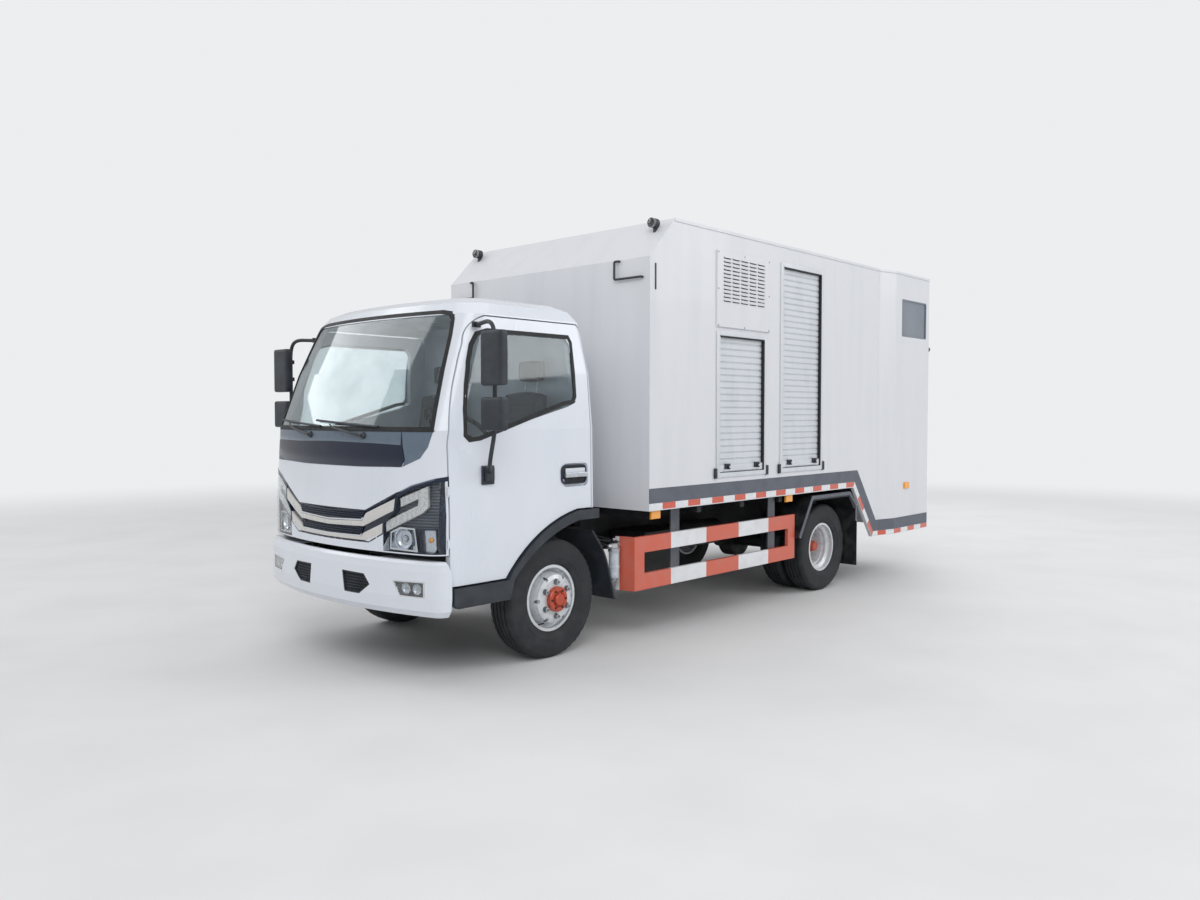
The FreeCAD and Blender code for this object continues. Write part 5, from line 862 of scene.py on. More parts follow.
wiper = {"pivots": (-0.25, 0.33), "pivotZ": 1.446, "bladeStart": 0.12, "bladeZ": 1.5, "bladeStep": 0.072,
         "arm": ((0.0, 0.0, 0.02), (-0.1, 0.016, 0.028), (-0.3, 0.048, 0.024), (-0.34, 0.066, 0.018)),
         "boss": [(0.02, 0), (0.02, 0.014), (0.014, 0.022), (0.009, 0.026), (0, 0.027)]}
piece = bmesh.new()
for pivot in wiper["pivots"]:
    foot, tip = (onNose(cab, pivot, wiper["pivotZ"], proud) for proud in (0.0, 1.0))
    base = onNose(cab, pivot, wiper["pivotZ"], -0.004)
    addLathe(piece, wiper["boss"], base, tip - foot, 0, 24)
    arm = [onNose(cab, pivot + along, wiper["pivotZ"] + rise, proud) for along, rise, proud in wiper["arm"]]
    addTube(piece, rounded(arm, 0.08), lambda t: 0.009 - 0.004 * t, 0, 10)
    for proud, radius, look, corners in ((0.01, 0.007, 0, 8), (0.002, 0.004, 1, 6)):
        blade = [onNose(cab, pivot + wiper["bladeStart"] - step * wiper["bladeStep"],
                        wiper["bladeZ"] + step * 0.004, proud) for step in range(10)]
        addTube(piece, blade, radius, look, corners)
finishPiece("wiperArms", piece, "cab", [grainedPlastic, sealRubber])
print("cowl ready")

# Rubber surrounds of the windscreen and the door glass
seal = {"width": 0.026,
        "screen": [(0.64, 2.188), (0.715, 2.176), (0.75, 2.14), (0.776, 2.04), (0.812, 1.84), (0.843, 1.59),
                   (0.858, 1.487)],
        "doorGlass": [(2.812, 1.452), (2.806, 1.599), (2.783, 1.744), (2.751, 1.879), (2.714, 1.981),
                      (2.668, 2.05), (2.59, 2.074), (1.905, 2.074), (1.884, 2.04), (1.884, 1.69),
                      (1.905, 1.656), (1.975, 1.646), (2.7, 1.432), (2.78, 1.424)]}
piece = bmesh.new()
addStrip(piece, mirrored(seal["screen"]), seal["width"], -0.006, 0.0015, 0, True)
finishPiece("windscreenSeal", piece, "cab", [sealRubber])
for side, word in sides:
    piece = bmesh.new()
    addStrip(piece, seal["doorGlass"], seal["width"], -0.006, 0.0018, 0, True, where=onFlank, flip=side < 0)
    finishPiece("doorGlassSeal" + word, piece, word.lower() + "_door", [sealRubber])
print("seals ready")

# Door mirrors: two heads clamped on a bent tube that stands on a stepped foot
mirror = {"tubeX": 2.747, "tubeY": 1.12, "headX": (2.757, 2.815), "headY": (1.07, 1.248),
          "heads": ((1.735, 2.045), (1.48, 1.67)), "footZ": 1.215, "topZ": 2.11, "armX": 2.66, "rim": 0.016}


def inset(span, reach):
    return span[0] + reach, span[1] - reach


def makeMirror(side, word):
    piece = bmesh.new()
    block = partial(sidedBlock, piece, side, segments=4)
    armX, tubeX, tubeY, footZ, topZ = (mirror[key] for key in ("armX", "tubeX", "tubeY", "footZ", "topZ"))
    route = [(armX, 0.968, footZ + 0.02), (tubeX, 1.075, footZ + 0.09),
             (tubeX, tubeY, mirror["heads"][1][0]), (tubeX, tubeY, topZ - 0.06),
             (tubeX - 0.01, tubeY - 0.05, topZ), (armX + 0.02, 0.878, topZ - 0.01)]
    addTube(piece, rounded([(x, side * y, z) for x, y, z in route], 0.07, 8), 0.0125, 0, 14)
    block((armX - 0.056, armX + 0.036), (0.934, 0.952), around(footZ, 0.056), 0, 0.008)
    block((armX - 0.04, armX + 0.024), (0.948, 0.974), (footZ - 0.036, footZ + 0.05), 0, 0.012)
    block((armX - 0.008, armX + 0.05), (0.872, 0.892), (topZ - 0.026, topZ + 0.008), 0, 0.006)
    headX, headY, rim = mirror["headX"], mirror["headY"], mirror["rim"]
    for head in mirror["heads"]:
        block(headX, headY, head, 0, 0.024)
        block((headX[0] - 0.0005, headX[0] + 0.012), inset(headY, rim), inset(head, rim), 1, 0.004)
        for height in (0.3, 0.7):
            z = head[0] + (head[1] - head[0]) * height
            block((tubeX - 0.018, tubeX + 0.02), (tubeY - 0.02, tubeY + 0.022), around(z, 0.014), 0, 0.004)
    low = word.lower()
    finishPiece("doorMirror" + word, piece, low + "_door", [grainedPlastic, mirrorSilver],
                ("mirror_" + low,))


for side, word in sides:
    makeMirror(side, word)
print("mirrors ready")

# Bumper inserts: hexagonal mesh in two five-sided inlets, chrome-rimmed fog lamps with twin bowls
inserts = {"inlet": [(0.179, 0.629), (0.379, 0.625), (0.428, 0.567), (0.334, 0.506), (0.197, 0.506)],
           "fog": [(0.616, 0.61), (0.85, 0.616), (0.85, 0.524), (0.67, 0.524)],
           "bowls": ((0.712, 0.569), (0.792, 0.569)), "bowlRadius": 0.033, "cell": 0.02, "wire": 0.005,
           "inletSpan": (-0.03, -0.026), "combSpan": (-0.022, -0.01), "fogSpan": (-0.036, -0.032),
           "lensSpan": (-0.007, -0.004), "bulb": [(0.009, -0.016), (0.009, -0.004), (0.006, 0.0), (0, 0.001)]}
piece = bmesh.new()
for side, _ in sides:
    panel, strip, comb = (partial(form, piece, skin=bumper, flip=side < 0)
                          for form in (addPanel, addStrip, addHoneycomb))
    panel(inserts["inlet"], *inserts["inletSpan"], 0)
    strip(inserts["inlet"], 0.008, inserts["inletSpan"][0], -0.002, 0, True)
    comb(inserts["inlet"], inserts["cell"], inserts["wire"], *inserts["combSpan"], 0)
    panel(inserts["fog"], *inserts["fogSpan"], 0)
    strip(inserts["fog"], 0.01, -0.034, -0.0005, 1, True)
    panel(inserts["fog"], *inserts["lensSpan"], 2)
    radius = inserts["bowlRadius"]
    for bowl in inserts["bowls"]:
        centre = onNose(bumper, *bowl, -0.014)
        addTurned(piece, side, centre, bowlProfile(radius, -radius * 0.55), 3, 28)
        addTurned(piece, side, centre, inserts["bulb"], 2, 16)
finishPiece("bumperInserts", piece, "chassis", [grainedPlastic, chromePlate, clearLens, lampReflector],
            ("bumper_inserts",))
print("bumper inserts ready")

# Door handles: black cup with a silver pull bar across it, key barrel beside
handle = {"x": (1.805, 2.035), "z": (1.125, 1.248), "cupRadius": 0.034, "barX": (1.812, 2.011),
          "barZ": (1.168, 1.198), "rim": 0.004, "footLength": 0.02, "key": (2.016, 1.148)}
for side, word in sides:
    piece = bmesh.new()
    barX, barZ, rim, length = handle["barX"], handle["barZ"], handle["rim"], handle["footLength"]
    onDoor = {"where": onFlank, "flip": side < 0}
    addPanel(piece, roundedBox(*handle["x"], *handle["z"], handle["cupRadius"]), -0.003, 0.004, 3, **onDoor)
    edge = roundedBox(*inset(handle["x"], rim), *inset(handle["z"], rim), handle["cupRadius"] - rim)
    addStrip(piece, edge, 0.009, 0.0, 0.0085, 0, True, **onDoor)
    skinY = onFlank(cab, 1.92, sum(barZ) / 2).y
    sidedBlock(piece, side, barX, (skinY + 0.012, skinY + 0.026), barZ, 1, 0.0065, 4)
    for foot in ((barX[0], barX[0] + length), (barX[1] - length, barX[1])):
        sidedBlock(piece, side, foot, (skinY, skinY + 0.016), inset(barZ, 0.006), 1, 0.004)
    addLathe(piece, [(0.012, 0), (0.012, 0.003), (0.008, 0.004), (0, 0.004)],
             (handle["key"][0], side * (skinY + 0.001), handle["key"][1]), (0, side, 0), 2, 20)
    finishPiece("doorHandle" + word, piece, word.lower() + "_door",
                [glossBlack, satinSilver, zincSteel, sealRubber])
print("door handles ready")

# Body side band, reflective tape, shutter frames, louvre hoods, roof gutter and window trim
bodySkin = {"half": 1.069, "rearHalf": 1.125, "bevel": (-2.11, -2.34), "front": 1.31, "rear": -3.09,
            "levels": ()}
band = {"floor": 0.91, "skirt": 0.42, "slopeTop": -1.618, "slopeFoot": -1.993, "tapeWidth": 0.044,
        "tapeMiddle": 0.025, "width": 0.104, "middle": 0.1, "pitch": 0.15}
shutter = {"face": 1.077, "reveal": 0.034, "foot": 1.1, "screws": 9, "latches": (0.17, 0.83),
           "bays": ((0.534, 0.674, 2.195), (-0.35, 0.68, 2.803)),
           "pin": [(0.007, 0), (0.007, 0.004), (0, 0.004)],
           "screw": [(0.0055, 0), (0.0045, 0.002), (0, 0.003)]}
louvre = {"front": 0.537, "length": 0.714, "foot": 2.225, "head": 2.79, "face": 1.083, "columns": 5,
          "rows": 12, "slot": (0.092, 0.013), "pitch": (0.115, 0.029), "hood": 0.009,
          "rivets": (0.02, 0.5, 0.98), "rivet": [(0.007, 0), (0.006, 0.002), (0, 0.003)]}
rearWindow = {"x": (-3.015, -2.473), "z": (2.338, 2.688)}
trims = {"gutterZ": 2.938, "gutterFront": 1.03, "width": 0.022, "front": (1.062, 2.648),
         "step": (0.582, 2.925)}


def onBody(skin, x, z, proud=0.0):
    # point of the body's left side: flat, then stepping out behind the bevel
    first, last = skin["bevel"]
    share = min(max((first - x) / (first - last), 0.0), 1.0)
    return Vector((x, skin["half"] + (skin["rearHalf"] - skin["half"]) * share + proud, z))


def skirtPath(offset):
    # line that follows the body's lower edge, offset metres above it
    fall = Vector((band["slopeFoot"] - band["slopeTop"], band["skirt"] - band["floor"])).normalized()
    start = Vector((band["slopeTop"], band["floor"])) + Vector((fall.y, -fall.x)) * offset
    top, foot = band["floor"] + offset, band["skirt"] + offset
    corner, low = (start + fall * ((level - start.y) / fall.y) for level in (top, foot))
    return [(bodySkin["front"], top), tuple(corner), tuple(low)] + alongRear(foot)


def alongRear(z):
    return [(x, z) for x in (*bodySkin["bevel"], bodySkin["rear"])]


def inPitches(path, pitch):
    points = [path[0]]
    for (u0, v0), (u1, v1) in zip(path, path[1:]):
        count = max(round(math.hypot(u1 - u0, v1 - v0) / pitch), 1)
        points += [(u0 + (u1 - u0) * k / count, v0 + (v1 - v0) * k / count) for k in range(1, count + 1)]
    return points


def addScrew(piece, side, x, y, z, profile, look, turns):
    addLathe(piece, profile, (x, side * y, z), (0, side, 0), look, turns)


def makeSkirtBand(word, onSide):
    piece = bmesh.new()
    addStrip(piece, skirtPath(band["middle"]), band["width"], -0.001, 0.0012, 0, **onSide)
    tapes = stripOutlines(inPitches(skirtPath(band["tapeMiddle"]), band["pitch"]), band["tapeWidth"])
    for number, tape in enumerate(tapes):
        addPanel(piece, tape, -0.001, 0.0009, 1 + number % 2, **onSide)
    finishPiece("skirtBandAndTape" + word, piece, "chassis", [bandPaint, whiteTape, redTape])


def makeShutterFittings(side, word):
    piece = bmesh.new()
    block = partial(sidedBlock, piece, side)
    face, reveal, foot = shutter["face"], shutter["reveal"], shutter["foot"]
    frameY, sealY = (face - 0.004, face + 0.003), (face - 0.022, face + 0.004)
    for front, length, head in shutter["bays"]:
        rear = front - length
        inner, clear = inset((rear, front), reveal), inset((foot, head), reveal)
        for x in ((front - reveal, front), (rear, rear + reveal)):
            block(x, frameY, (foot, head), 0, 0.002)
        for z in ((head - reveal, head), (foot, foot + reveal)):
            block(inner, frameY, z, 0, 0.002)
        block((inner[0] - 0.004, inner[0] + 0.01), sealY, clear, 1, 0.002)
        block((inner[1] - 0.007, inner[1] + 0.003), sealY, clear, 0, 0.002)
        block(inner, sealY, (clear[1] - 0.01, clear[1] + 0.002), 1, 0.002)
        barZ = foot + reveal + 0.006
        barX = (inner[0] + 0.012, inner[1] - 0.01)
        block(barX, (face - 0.024, face - 0.003), (barZ, barZ + 0.052), 0, 0.004)
        block(inset(inner, 0.06), (face - 0.006, face + 0.01), (barZ + 0.008, barZ + 0.02), 0, 0.003)
        for share in shutter["latches"]:
            x = inner[0] + (inner[1] - inner[0]) * share
            block(around(x, 0.03), (face - 0.006, face + 0.013), (barZ + 0.018, barZ + 0.062), 2, 0.006, 3)
            block(around(x, 0.013), (face + 0.008, face + 0.026), (barZ + 0.026, barZ + 0.05), 2, 0.005, 3)
            addScrew(piece, side, x, face + 0.026, barZ + 0.038, shutter["pin"], 0, 16)
        for x in (rear - 0.012, front + 0.012):
            block(around(x, 0.012), (face - 0.008, face + 0.012), (foot - 0.006, foot + 0.07), 2, 0.004)
        for step in range(shutter["screws"]):
            z = foot + 0.1 + step * (head - foot - 0.2) / (shutter["screws"] - 1)
            for x in (front - reveal / 2, rear + reveal / 2):
                addScrew(piece, side, x, face + 0.003, z, shutter["screw"], 0, 10)
    finishPiece("shutterFittings" + word, piece, "chassis", [slatCoat, sealRubber, grainedPlastic])


def makeLouvreHoods(side, word):
    piece = bmesh.new()
    face, out = louvre["face"], louvre["face"] + louvre["hood"]
    height = louvre["head"] - louvre["foot"]
    firstX = louvre["front"] - louvre["length"] / 2 - louvre["pitch"][0] * (louvre["columns"] - 1) / 2
    firstZ = louvre["foot"] + height * 0.62 - louvre["pitch"][1] * (louvre["rows"] - 1) / 2
    for column in range(louvre["columns"]):
        span = around(firstX + column * louvre["pitch"][0], louvre["slot"][0] / 2)
        for row in range(louvre["rows"]):
            top = firstZ + row * louvre["pitch"][1] + louvre["slot"][1]
            section = [(face - 0.001, top + 0.006), (out, top - 0.003), (out, top - 0.006),
                       (out - 0.002, top - 0.007), (face - 0.001, top + 0.001)]
            addPrism(piece, [(side * y, z) for y, z in section], "x", *span, 0)
    for u in louvre["rivets"]:
        for v in louvre["rivets"]:
            if u != 0.5 or v != 0.5:
                x, z = louvre["front"] - louvre["length"] * u, louvre["foot"] + height * v
                addScrew(piece, side, x, face, z, louvre["rivet"], 1, 12)
    finishPiece("louvreHoods" + word, piece, "chassis", [bodyCoat, zincSteel])


def makeRearWindowTrim(word, onSide):
    piece = bmesh.new()
    pane = roundedBox(*rearWindow["x"], *rearWindow["z"], 0.008)
    addStrip(piece, pane, 0.012, -0.008, 0.0012, 0, True, **onSide)
    finishPiece("rearWindowTrim" + word, piece, "chassis", [greyGlass])


def makeEdgeTrims(word, onSide):
    piece = bmesh.new()
    strip = partial(addStrip, piece, look=0, **onSide)
    gutter = [(trims["gutterFront"], trims["gutterZ"])] + alongRear(trims["gutterZ"])
    strip(gutter, trims["width"], -0.002, 0.006)
    strip([(bodySkin["front"] - 0.012, z) for z in trims["front"]], trims["width"], -0.002, 0.0025)
    strip([(bodySkin["bevel"][0], z) for z in trims["step"]], 0.03, -0.001, 0.0015)
    finishPiece("bodyEdgeTrims" + word, piece, "chassis", [bodyCoat])


for side, word in sides:
    onSide = {"skin": bodySkin, "where": onBody, "flip": side < 0, "step": 10.0}
    makeSkirtBand(word, onSide)
    makeShutterFittings(side, word)
    makeLouvreHoods(side, word)
    makeRearWindowTrim(word, onSide)
    makeEdgeTrims(word, onSide)
print("body fittings ready")

# Rear mudguards: folded grey edge on the outer face, bolts along it
mudguard = {"face": 1.06, "width": 0.03, "boltPitch": 0.16, "bolt": [(0.007, 0), (0.006, 0.003), (0, 0.004)],
            "edge": [(-0.698, 0.534), (-0.904, 0.858), (-1.566, 0.858), (-1.694, 0.744), (-1.694, 0.6)]}
mudSkin = dict(bodySkin, half=mudguard["face"], rearHalf=mudguard["face"])
for side, word in sides:
    piece = bmesh.new()
    addStrip(piece, mudguard["edge"], mudguard["width"], -0.001, 0.004, 0, skin=mudSkin, where=onBody,
             flip=side < 0, step=10.0)
    for x, z in inPitches(mudguard["edge"], mudguard["boltPitch"]):
        addScrew(piece, side, x, mudguard["face"] + 0.004, z, mudguard["bolt"], 1, 12)
    finishPiece("mudguardEdge" + word, piece, "chassis", [bandPaint, zincSteel])
print("mudguard edges ready")

# Splash guard behind each front wheel, a bent plastic sheet held by a bar from the frame
splash = {"path": [(1.73, 0.8), (1.66, 0.715), (1.6, 0.617), (1.56, 0.5), (1.53, 0.39), (1.505, 0.31)],
          "y": (0.52, 0.925), "sheet": 0.004, "barZ": 0.678, "barX": 1.628}
for side, word in sides:
    piece = bmesh.new()
    curve = [(p.x, p.y) for p in rounded([(x, z, 0) for x, z in splash["path"]], 0.05)]
    outline = curve + [(x - splash["sheet"], z) for x, z in reversed(curve)]
    addPrism(piece, outline, "y", *sorted(side * y for y in splash["y"]), 0)
    addTube(piece, [(x - 0.004, side * (splash["y"][1] - 0.004), z) for x, z in curve], 0.008, 0, 8)
    barX, barZ = splash["barX"], splash["barZ"]
    sidedBlock(piece, side, (barX - 0.04, barX - 0.012), (0.375, 0.9), (barZ, barZ + 0.006), 1, 0.001)
    sidedBlock(piece, side, (barX - 0.014, barX + 0.022), (0.6, 0.64), (barZ, barZ + 0.008), 1, 0.001)
    finishPiece("splashGuard" + word, piece, "chassis", [grainedPlastic, chassisPaint])
print("splash guards ready")

# Fuel filter behind the left splash guard: cast head, pale bowl, drain tap and two rigid pipes to the frame
fuelFilter = {"x": 1.488, "y": 0.905, "headZ": (0.64, 0.712), "bowlZ": (0.45, 0.64), "radius": 0.036}
piece = bmesh.new()
x, y, radius = fuelFilter["x"], fuelFilter["y"], fuelFilter["radius"]
foot, top = fuelFilter["bowlZ"]
headFoot, headTop = fuelFilter["headZ"]
upright = partial(addLathe, piece, axis=(0, 0, 1))
upright([(0, foot - 0.018), (0.012, foot - 0.016), (0.014, foot - 0.004), (radius - 0.008, foot),
         (radius, foot + 0.008), (radius, foot + 0.07), (radius + 0.003, foot + 0.074),
         (radius + 0.003, foot + 0.084), (radius, foot + 0.088), (radius, top - 0.012),
         (radius + 0.004, top - 0.008), (radius + 0.004, top), (0, top)], (x, y, 0), look=0, turns=40)
upright([(0, headFoot), (radius + 0.006, headFoot), (radius + 0.008, headFoot + 0.016),
         (radius - 0.004, headFoot + 0.024), (radius - 0.008, headFoot + 0.052), (0.018, headFoot + 0.06),
         (0, headFoot + 0.06)], (x, y, 0), look=1, turns=32)
for turn in (-1, 1):
    addLathe(piece, [(0.014, 0), (0.014, 0.02), (0.01, 0.024), (0.01, 0.04), (0, 0.04)],
             (x + turn * 0.024, y, headFoot + 0.036), (turn, 0, 0), 1, 6)
    pipe = [(x + turn * 0.06, y, headFoot + 0.036), (x + turn * 0.075, y - 0.04, headFoot + 0.05),
            (x + turn * 0.04, y - 0.2, headTop + 0.01), (x + turn * 0.02, 0.385, headTop - 0.01)]
    addTube(piece, rounded(pipe, 0.05), 0.006, 2, 10)
addBlock(piece, (x - 0.03, 0.38, headTop - 0.014), (x + 0.03, y + 0.03, headTop - 0.008), 3, 0.001)
addBlock(piece, (x - 0.02, y - 0.012, headTop - 0.02), (x + 0.02, y + 0.012, headTop), 3, 0.003)
upright([(0.01, 0), (0.01, 0.014), (0.006, 0.018), (0, 0.018)], (x, y, headTop - 0.004), look=1, turns=12)
finishPiece("fuelFilter", piece, "chassis", [filterBowl, aluminium, sealRubber, chassisPaint])
print("filter ready")

# Lamp lenses and brackets of the body
bodyLamps = {"work": (1.149, 0.95, 2.915), "tailY": (1.003, 0.921, 0.835, 0.747), "tailZ": (0.562, 0.648),
             "tailX": (-3.106, -3.096), "bracketX": (1.309, 1.33), "bracketY": (0.765, 0.8, 1.01),
             "bracketZ": (2.515, 2.64)}
piece = bmesh.new()
for side, _ in sides:
    x, y, z = bodyLamps["work"]
    for profile, look in (([(0.034, -0.01), (0.036, 0.0), (0.033, 0.004), (0.03, 0.004)], 3),
                          ([(0.031, 0.001), (0.024, 0.006), (0.012, 0.008), (0, 0.009)], 2)):
        addLathe(piece, profile, (x, side * y, z), (1, 0, 0), look, 32)
    for look, (inner, outer) in enumerate(zip(bodyLamps["tailY"][1:], bodyLamps["tailY"])):
        lens = inset((inner, outer), 0.002)
        sidedBlock(piece, side, bodyLamps["tailX"], lens, bodyLamps["tailZ"], look, 0.005, 3)
    (wall, reach), (near, start, far), (low, high) = (bodyLamps["bracket" + axis] for axis in "XYZ")
    bracket = [(wall, start, high), (reach, start, high), (reach, near, high), (reach, near, low),
               (reach, far, low), (wall, far, low)]
    addTube(piece, rounded([(x, side * y, z) for x, y, z in bracket], 0.012), 0.008, 4, 10)
    sidedBlock(piece, side, (1.24, 1.252), (1.068, 1.074), (2.43, 2.61), 4, 0.002)
finishPiece("lampLenses", piece, "chassis", [redLens, amberLens, clearLens, zincSteel, grainedPlastic])
print("lamp lenses ready")

# Seats: steel base and head posts, crowned cushions with a sewn middle panel
seat = {"y": 0.47, "x": (1.89, 2.36), "baseX": (1.95, 2.3), "baseZ": (1.03, 1.126), "baseHalf": 0.16,
        "cushionZ": (1.12, 1.25), "half": 0.238, "backFoot": (1.965, 1.205), "backLean": 0.1243,
        "backLength": 0.56, "backHalf": 0.228, "thickness": 0.108, "headX": (1.802, 1.898), "headHalf": 0.13,
        "headZ": (1.788, 1.946), "postY": 0.06, "postX": 1.85, "postZ": (1.69, 1.805), "hingeY": 0.218,
        "hinge": [(0, -0.012), (0.036, -0.012), (0.04, -0.006), (0.04, 0.006), (0.036, 0.012), (0, 0.012)],
        "seam": 0.008, "seamDepth": 0.006}
cover = {"cuts": 23, "roundness": 0.28, "crown": 0.2, "waist": 0.035, "seamsFrom": 0.35, "panelFrom": 0.3,
         "flatFoot": 0.97}
air = {"voxel": 0.007, "cap": 0.014, "pressure": 4.0, "frames": 20}


def inflated(piece):
    # the cover as cloth with air in it: voxel mesh, some frames under pressure, no point further than the cap
    scene = bpy.context.scene
    mesh = bpy.data.meshes.new("coverCut")
    piece.to_mesh(mesh)
    piece.free()
    thing = bpy.data.objects.new("coverCut", mesh)
    scene.collection.objects.link(thing)
    voxels = thing.modifiers.new("voxels", "REMESH")
    voxels.mode = "VOXEL"
    voxels.voxel_size = air["voxel"]
    meshed = bpy.data.meshes.new_from_object(thing.evaluated_get(bpy.context.evaluated_depsgraph_get()))
    thing.modifiers.clear()
    thing.data = meshed
    settings = thing.modifiers.new("air", "CLOTH").settings
    settings.use_pressure = True
    settings.uniform_pressure_force = air["pressure"]
    settings.effector_weights.gravity = 0.0
    settings.quality = 4
    for frameNumber in range(1, air["frames"] + 1):
        scene.frame_set(frameNumber)
    blown = thing.evaluated_get(bpy.context.evaluated_depsgraph_get()).to_mesh()
    moves = [after.co - before.co for before, after in zip(meshed.vertices, blown.vertices)]
    scene.frame_set(1)
    result = bmesh.new()
    result.from_mesh(meshed)
    for vert, move in zip(result.verts, moves):
        vert.co += move * min(1.0, air["cap"] / max(move.length, 1e-9))
    bpy.data.objects.remove(thing)
    for _ in range(2):
        bmesh.ops.smooth_vert(result, verts=result.verts, factor=0.5, use_axis_x=True, use_axis_y=True,
                              use_axis_z=True)
    return result


def makeCushion(name, centre, size, turn, across, down, cloth):
    # crowned closed form: full in the middle, pulled in along its sides, with sunk seams across the panel
    piece = bmesh.new()
    bmesh.ops.create_cube(piece, size=2)
    bmesh.ops.subdivide_edges(piece, edges=piece.edges[:], cuts=cover["cuts"], use_grid_fill=True)
    slack = air["cap"]
    for vert in piece.verts:
        a, b, c = vert.co
        ball = Vector([p * math.sqrt(max(1 - q * q / 2 - r * r / 2 + q * q * r * r / 3, 0))
                       for p, q, r in ((a, b, c), (b, a, c), (c, a, b))])
        form = Vector((a, b, c)) * (1 - cover["roundness"]) + ball * cover["roundness"]
        crown = (1 - a * a) * (1 - b * b)
        waist = cover["waist"] * (1 - c * c) * (abs(a) ** 3 + abs(b) ** 3) / 2
        narrow = 1 - waist - slack / size[1]
        depth = form.z * (1 - cover["crown"] + cover["crown"] * crown) * (1 - slack / size[2])
        vert.co = (form.x * size[0] * narrow, form.y * size[1] * narrow, depth * size[2])
    if slack:
        piece = inflated(piece)
    for vert in piece.verts:
        a, b, c = (vert.co[k] / size[k] for k in range(3))
        if c > cover["seamsFrom"]:
            sunk = sum(math.exp(-((b - line) * size[1] / seat["seam"]) ** 2) for line in across)
            if abs(b) < across[-1]:
                sunk += sum(math.exp(-((a - line) * size[0] / seat["seam"]) ** 2) for line in down)
            vert.co.z -= seat["seamDepth"] * min(sunk, 1.0)
        if c < -0.6:
            vert.co.z = max(vert.co.z, -size[2] * cover["flatFoot"])
    for face in piece.faces:
        middle = face.calc_center_median()
        inPanel = abs(middle.y) < across[-1] * size[1] and middle.z > cover["panelFrom"] * size[2]
        face.material_index = 0 if inPanel else 1
    bmesh.ops.transform(piece, matrix=turn, verts=piece.verts)
    bmesh.ops.translate(piece, vec=centre, verts=piece.verts)
    thing = finishPiece(name, piece, "cab", [cloth, seatVinyl], sharp=80)


def middleAndReach(span):
    return (span[0] + span[1]) / 2, (span[1] - span[0]) / 2


for side, word in sides:
    y = side * seat["y"]
    (middleX, reachX), (middleZ, reachZ) = middleAndReach(seat["x"]), middleAndReach(seat["cushionZ"])
    makeCushion("seatCushion" + word, (middleX, y, middleZ), (reachX, seat["half"], reachZ),
                Matrix.Identity(4), (-0.62, 0.62), (-0.33, 0.0, 0.33), seatCloth)
    lean, along, (footX, footZ) = seat["backLean"], seat["backLength"] / 2, seat["backFoot"]
    makeCushion("seatBack" + word, (footX - along * math.sin(lean), y, footZ + along * math.cos(lean)),
                (along, seat["backHalf"], seat["thickness"] / 2), Matrix.Rotation(pi / 2 - lean, 4, "Y"),
                (-0.6, 0.6), (-0.5, -0.17, 0.17, 0.5), seatCloth)
    (middleX, reachX), (middleZ, reachZ) = middleAndReach(seat["headX"]), middleAndReach(seat["headZ"])
    makeCushion("headRest" + word, (middleX, y, middleZ), (reachZ, seat["headHalf"], reachX),
                Matrix.Rotation(pi / 2, 4, "Y"), (-0.7, 0.7), (), seatVinyl)
piece = bmesh.new()
for y in around(0.0, seat["y"]):
    block = partial(sidedBlock, piece, 1)
    block(seat["baseX"], around(y, seat["baseHalf"]), seat["baseZ"], 0, 0.01, 3)
    for postY in around(y, seat["postY"]):
        postLow, postHigh = ((seat["postX"] + lean, postY, z) for lean, z in zip((0.012, 0), seat["postZ"]))
        addTube(piece, [postLow, postHigh], 0.007, 1, 12)
    for hingeY in around(y, seat["hingeY"]):
        block((1.925, 1.985), around(hingeY, 0.004), (1.15, 1.26), 2, 0.003)
        addLathe(piece, seat["hinge"], (1.955, hingeY, 1.215), (0, 1, 0), 2, 24)
finishPiece("seatFrames", piece, "cab", [seatVinyl, polishedRod, grainedPlastic], ("seats",))
print("seats ready")

# Rear hatch: rubber seal, pressed ribs in its two panels, two turn latches; tape along the sill under it
hatch = {"face": -3.09, "half": 1.037, "z": (0.84, 2.856), "panels": ((0.924, 1.822), (1.874, 2.772)),
         "ribs": (-0.75, -0.45, -0.15, 0.15, 0.45, 0.75), "recess": 0.01, "latchY": 0.62, "latchZ": 0.884}
piece = bmesh.new()
block = partial(sidedBlock, piece, 1)
face, half = hatch["face"], (-hatch["half"], hatch["half"])
sealX = (face - 0.0012, face + 0.002)
for y in inset(half, 0.006):
    block(sealX, around(y, 0.005), inset(hatch["z"], 0.016), 0, 0.0005)
for z in inset(hatch["z"], 0.006):
    block(sealX, inset(half, 0.016), around(z, 0.005), 0, 0.0005)
ribX = (face + 0.003, face + hatch["recess"] + 0.001)
for panel in hatch["panels"]:
    for y in hatch["ribs"]:
        block(ribX, around(y, 0.022), inset(panel, 0.06), 1, 0.003, 3)
for y in around(0.0, hatch["latchY"]):
    block((face - 0.006, face + 0.001), around(y, 0.06), around(hatch["latchZ"], 0.02), 2, 0.003)
    block((face - 0.017, face - 0.009), (y - 0.045, y + 0.03), around(hatch["latchZ"], 0.009), 3, 0.003)
    addLathe(piece, [(0.014, 0), (0.014, 0.01), (0.01, 0.014), (0, 0.014)],
             (face - 0.005, y + 0.02, hatch["latchZ"]), (-1, 0, 0), 3, 24)
finishPiece("hatchFittings", piece, "hatch", [sealRubber, bodyCoat, grainedPlastic, zincSteel])

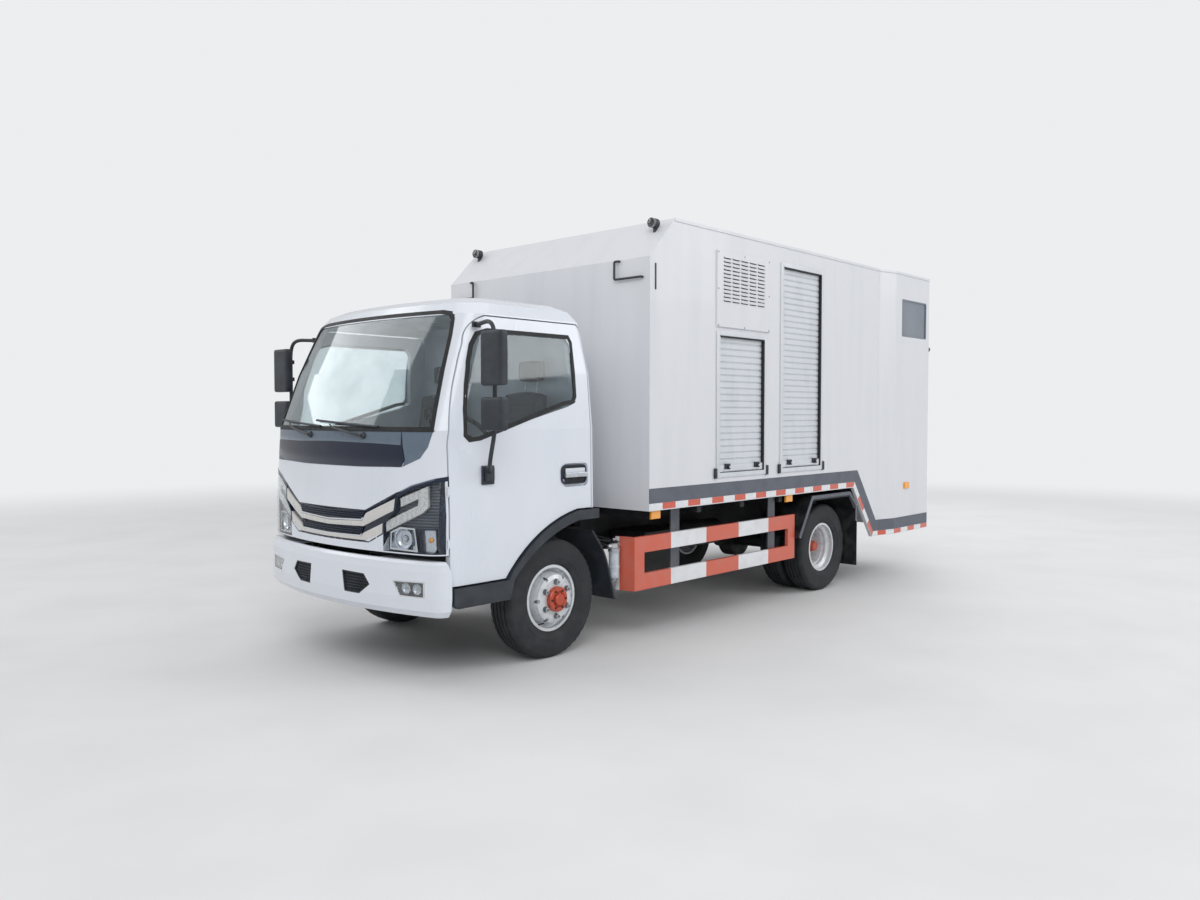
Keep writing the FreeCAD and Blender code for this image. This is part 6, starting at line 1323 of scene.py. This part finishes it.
sill = {"tapeZ": (0.44, 0.484), "half": 1.1, "notch": 0.08, "pitch": 0.15}
piece = bmesh.new()
span = sill["half"] - sill["notch"]
count = round(span / sill["pitch"])
for side, _ in sides:
    for number in range(count):
        start = sill["notch"] + span * number / count
        tapeY = (start, start + span / count)
        sidedBlock(piece, side, around(face, 0.001), tapeY, sill["tapeZ"], number % 2, 0)
finishPiece("rearSillTape", piece, "chassis", [whiteTape, redTape])
print("hatch ready")

# Camera as the photograph was taken
photo = {"place": (6.304, 5.194, 1.569), "yaw": 222.538, "pitch": -2.122, "lens": 28.35, "sensor": 36.0,
         "sight": 400.0}
scene = bpy.context.scene
camera = bpy.data.objects.new("photoCamera", bpy.data.cameras.new("photoCamera"))
scene.collection.objects.link(camera)
camera.location = photo["place"]
yaw, pitch = math.radians(photo["yaw"]), math.radians(photo["pitch"])
gaze = Vector((math.cos(pitch) * math.cos(yaw), math.cos(pitch) * math.sin(yaw), math.sin(pitch)))
camera.rotation_euler = gaze.to_track_quat("-Z", "Y").to_euler()
camera.data.lens = photo["lens"]
camera.data.sensor_width = photo["sensor"]
camera.data.clip_end = photo["sight"]
scene.camera = camera

# Studio: pale floor, white all round, broad soft lamps given by place, size and power
studio = {"floor": "#D9DADB", "backdrop": "#ECEEF0", "world": "#FFFFFF", "worldStrength": 0.55,
          "aim": (0, 0, 1.2), "floorHalf": 80, "fade": (6.0, 17.0),
          "lamps": (((9.0, 8.0, 8.5), 7.0, 560.0), ((-6.0, 9.0, 7.0), 7.0, 400.0),
                    ((6.0, -8.0, 7.5), 7.0, 280.0), ((0.0, 0.0, 11.0), 9.0, 150.0),
                    ((-10.0, -2.0, 6.0), 6.0, 210.0))}
half = studio["floorHalf"]
floorMesh = bpy.data.meshes.new("studioFloor")
corners = [(-half, -half, 0), (half, -half, 0), (half, half, 0), (-half, half, 0)]
floorMesh.from_pydata(corners, [], [(0, 1, 2, 3)])
floorThing = bpy.data.objects.new("studioFloor", floorMesh)
scene.collection.objects.link(floorThing)
floorPaint = startMaterial("studioFloorPaint", studio["floor"], 0.75)
tinted(floorPaint, cloudy(floorPaint, 900), "#DBDCDD", "#D5D6D8")
# towards the horizon the floor turns into the backdrop for camera, mirrored and glass rays
tree = floorPaint.tree
reach = addNode(tree, "VectorMath", {0: floorPaint.place}, operation="LENGTH").outputs["Value"]
ends = {"Value": reach, "From Min": studio["fade"][0], "From Max": studio["fade"][1]}
fade = addNode(tree, "MapRange", ends, interpolation_type="SMOOTHSTEP").outputs[0]
rays = addNode(tree, "LightPath").outputs
mirroredRay = maths(tree, "MAXIMUM", rays["Is Glossy Ray"], rays["Is Camera Ray"])
share = maths(tree, "MULTIPLY", maths(tree, "MAXIMUM", mirroredRay, rays["Is Transmission Ray"]), fade)
backdrop = addNode(tree, "Emission", {"Color": toLinear(studio["backdrop"]), "Strength": 1.0}).outputs[0]
blend = addNode(tree, "MixShader", {0: share, 1: floorPaint.shader.outputs[0], 2: backdrop})
tree.links.new(blend.outputs[0], tree.nodes["Material Output"].inputs["Surface"])
floorMesh.materials.append(floorPaint.material)

world = bpy.data.worlds.new("studioWorld")
scene.world = world
world.use_nodes = True
tree = world.node_tree
tree.nodes.clear()
rays = addNode(tree, "LightPath").outputs
seen = maths(tree, "MAXIMUM", rays["Is Camera Ray"], rays["Is Transmission Ray"])
lit, shown = (addNode(tree, "Background", {"Color": toLinear(studio[tone]), "Strength": strength}).outputs[0]
              for tone, strength in (("world", studio["worldStrength"]), ("backdrop", 1.0)))
addNode(tree, "OutputWorld", {0: addNode(tree, "MixShader", {0: seen, 1: lit, 2: shown}).outputs[0]})
for number, (spot, size, power) in enumerate(studio["lamps"]):
    lamp = bpy.data.lights.new("softLamp%d" % number, "AREA")
    lamp.shape = "SQUARE"
    lamp.size = size
    lamp.energy = power
    holder = bpy.data.objects.new(lamp.name, lamp)
    holder.location = spot
    holder.rotation_euler = (Vector(studio["aim"]) - Vector(spot)).to_track_quat("-Z", "Y").to_euler()
    scene.collection.objects.link(holder)
scene.view_settings.view_transform = "Standard"
print("studio ready")
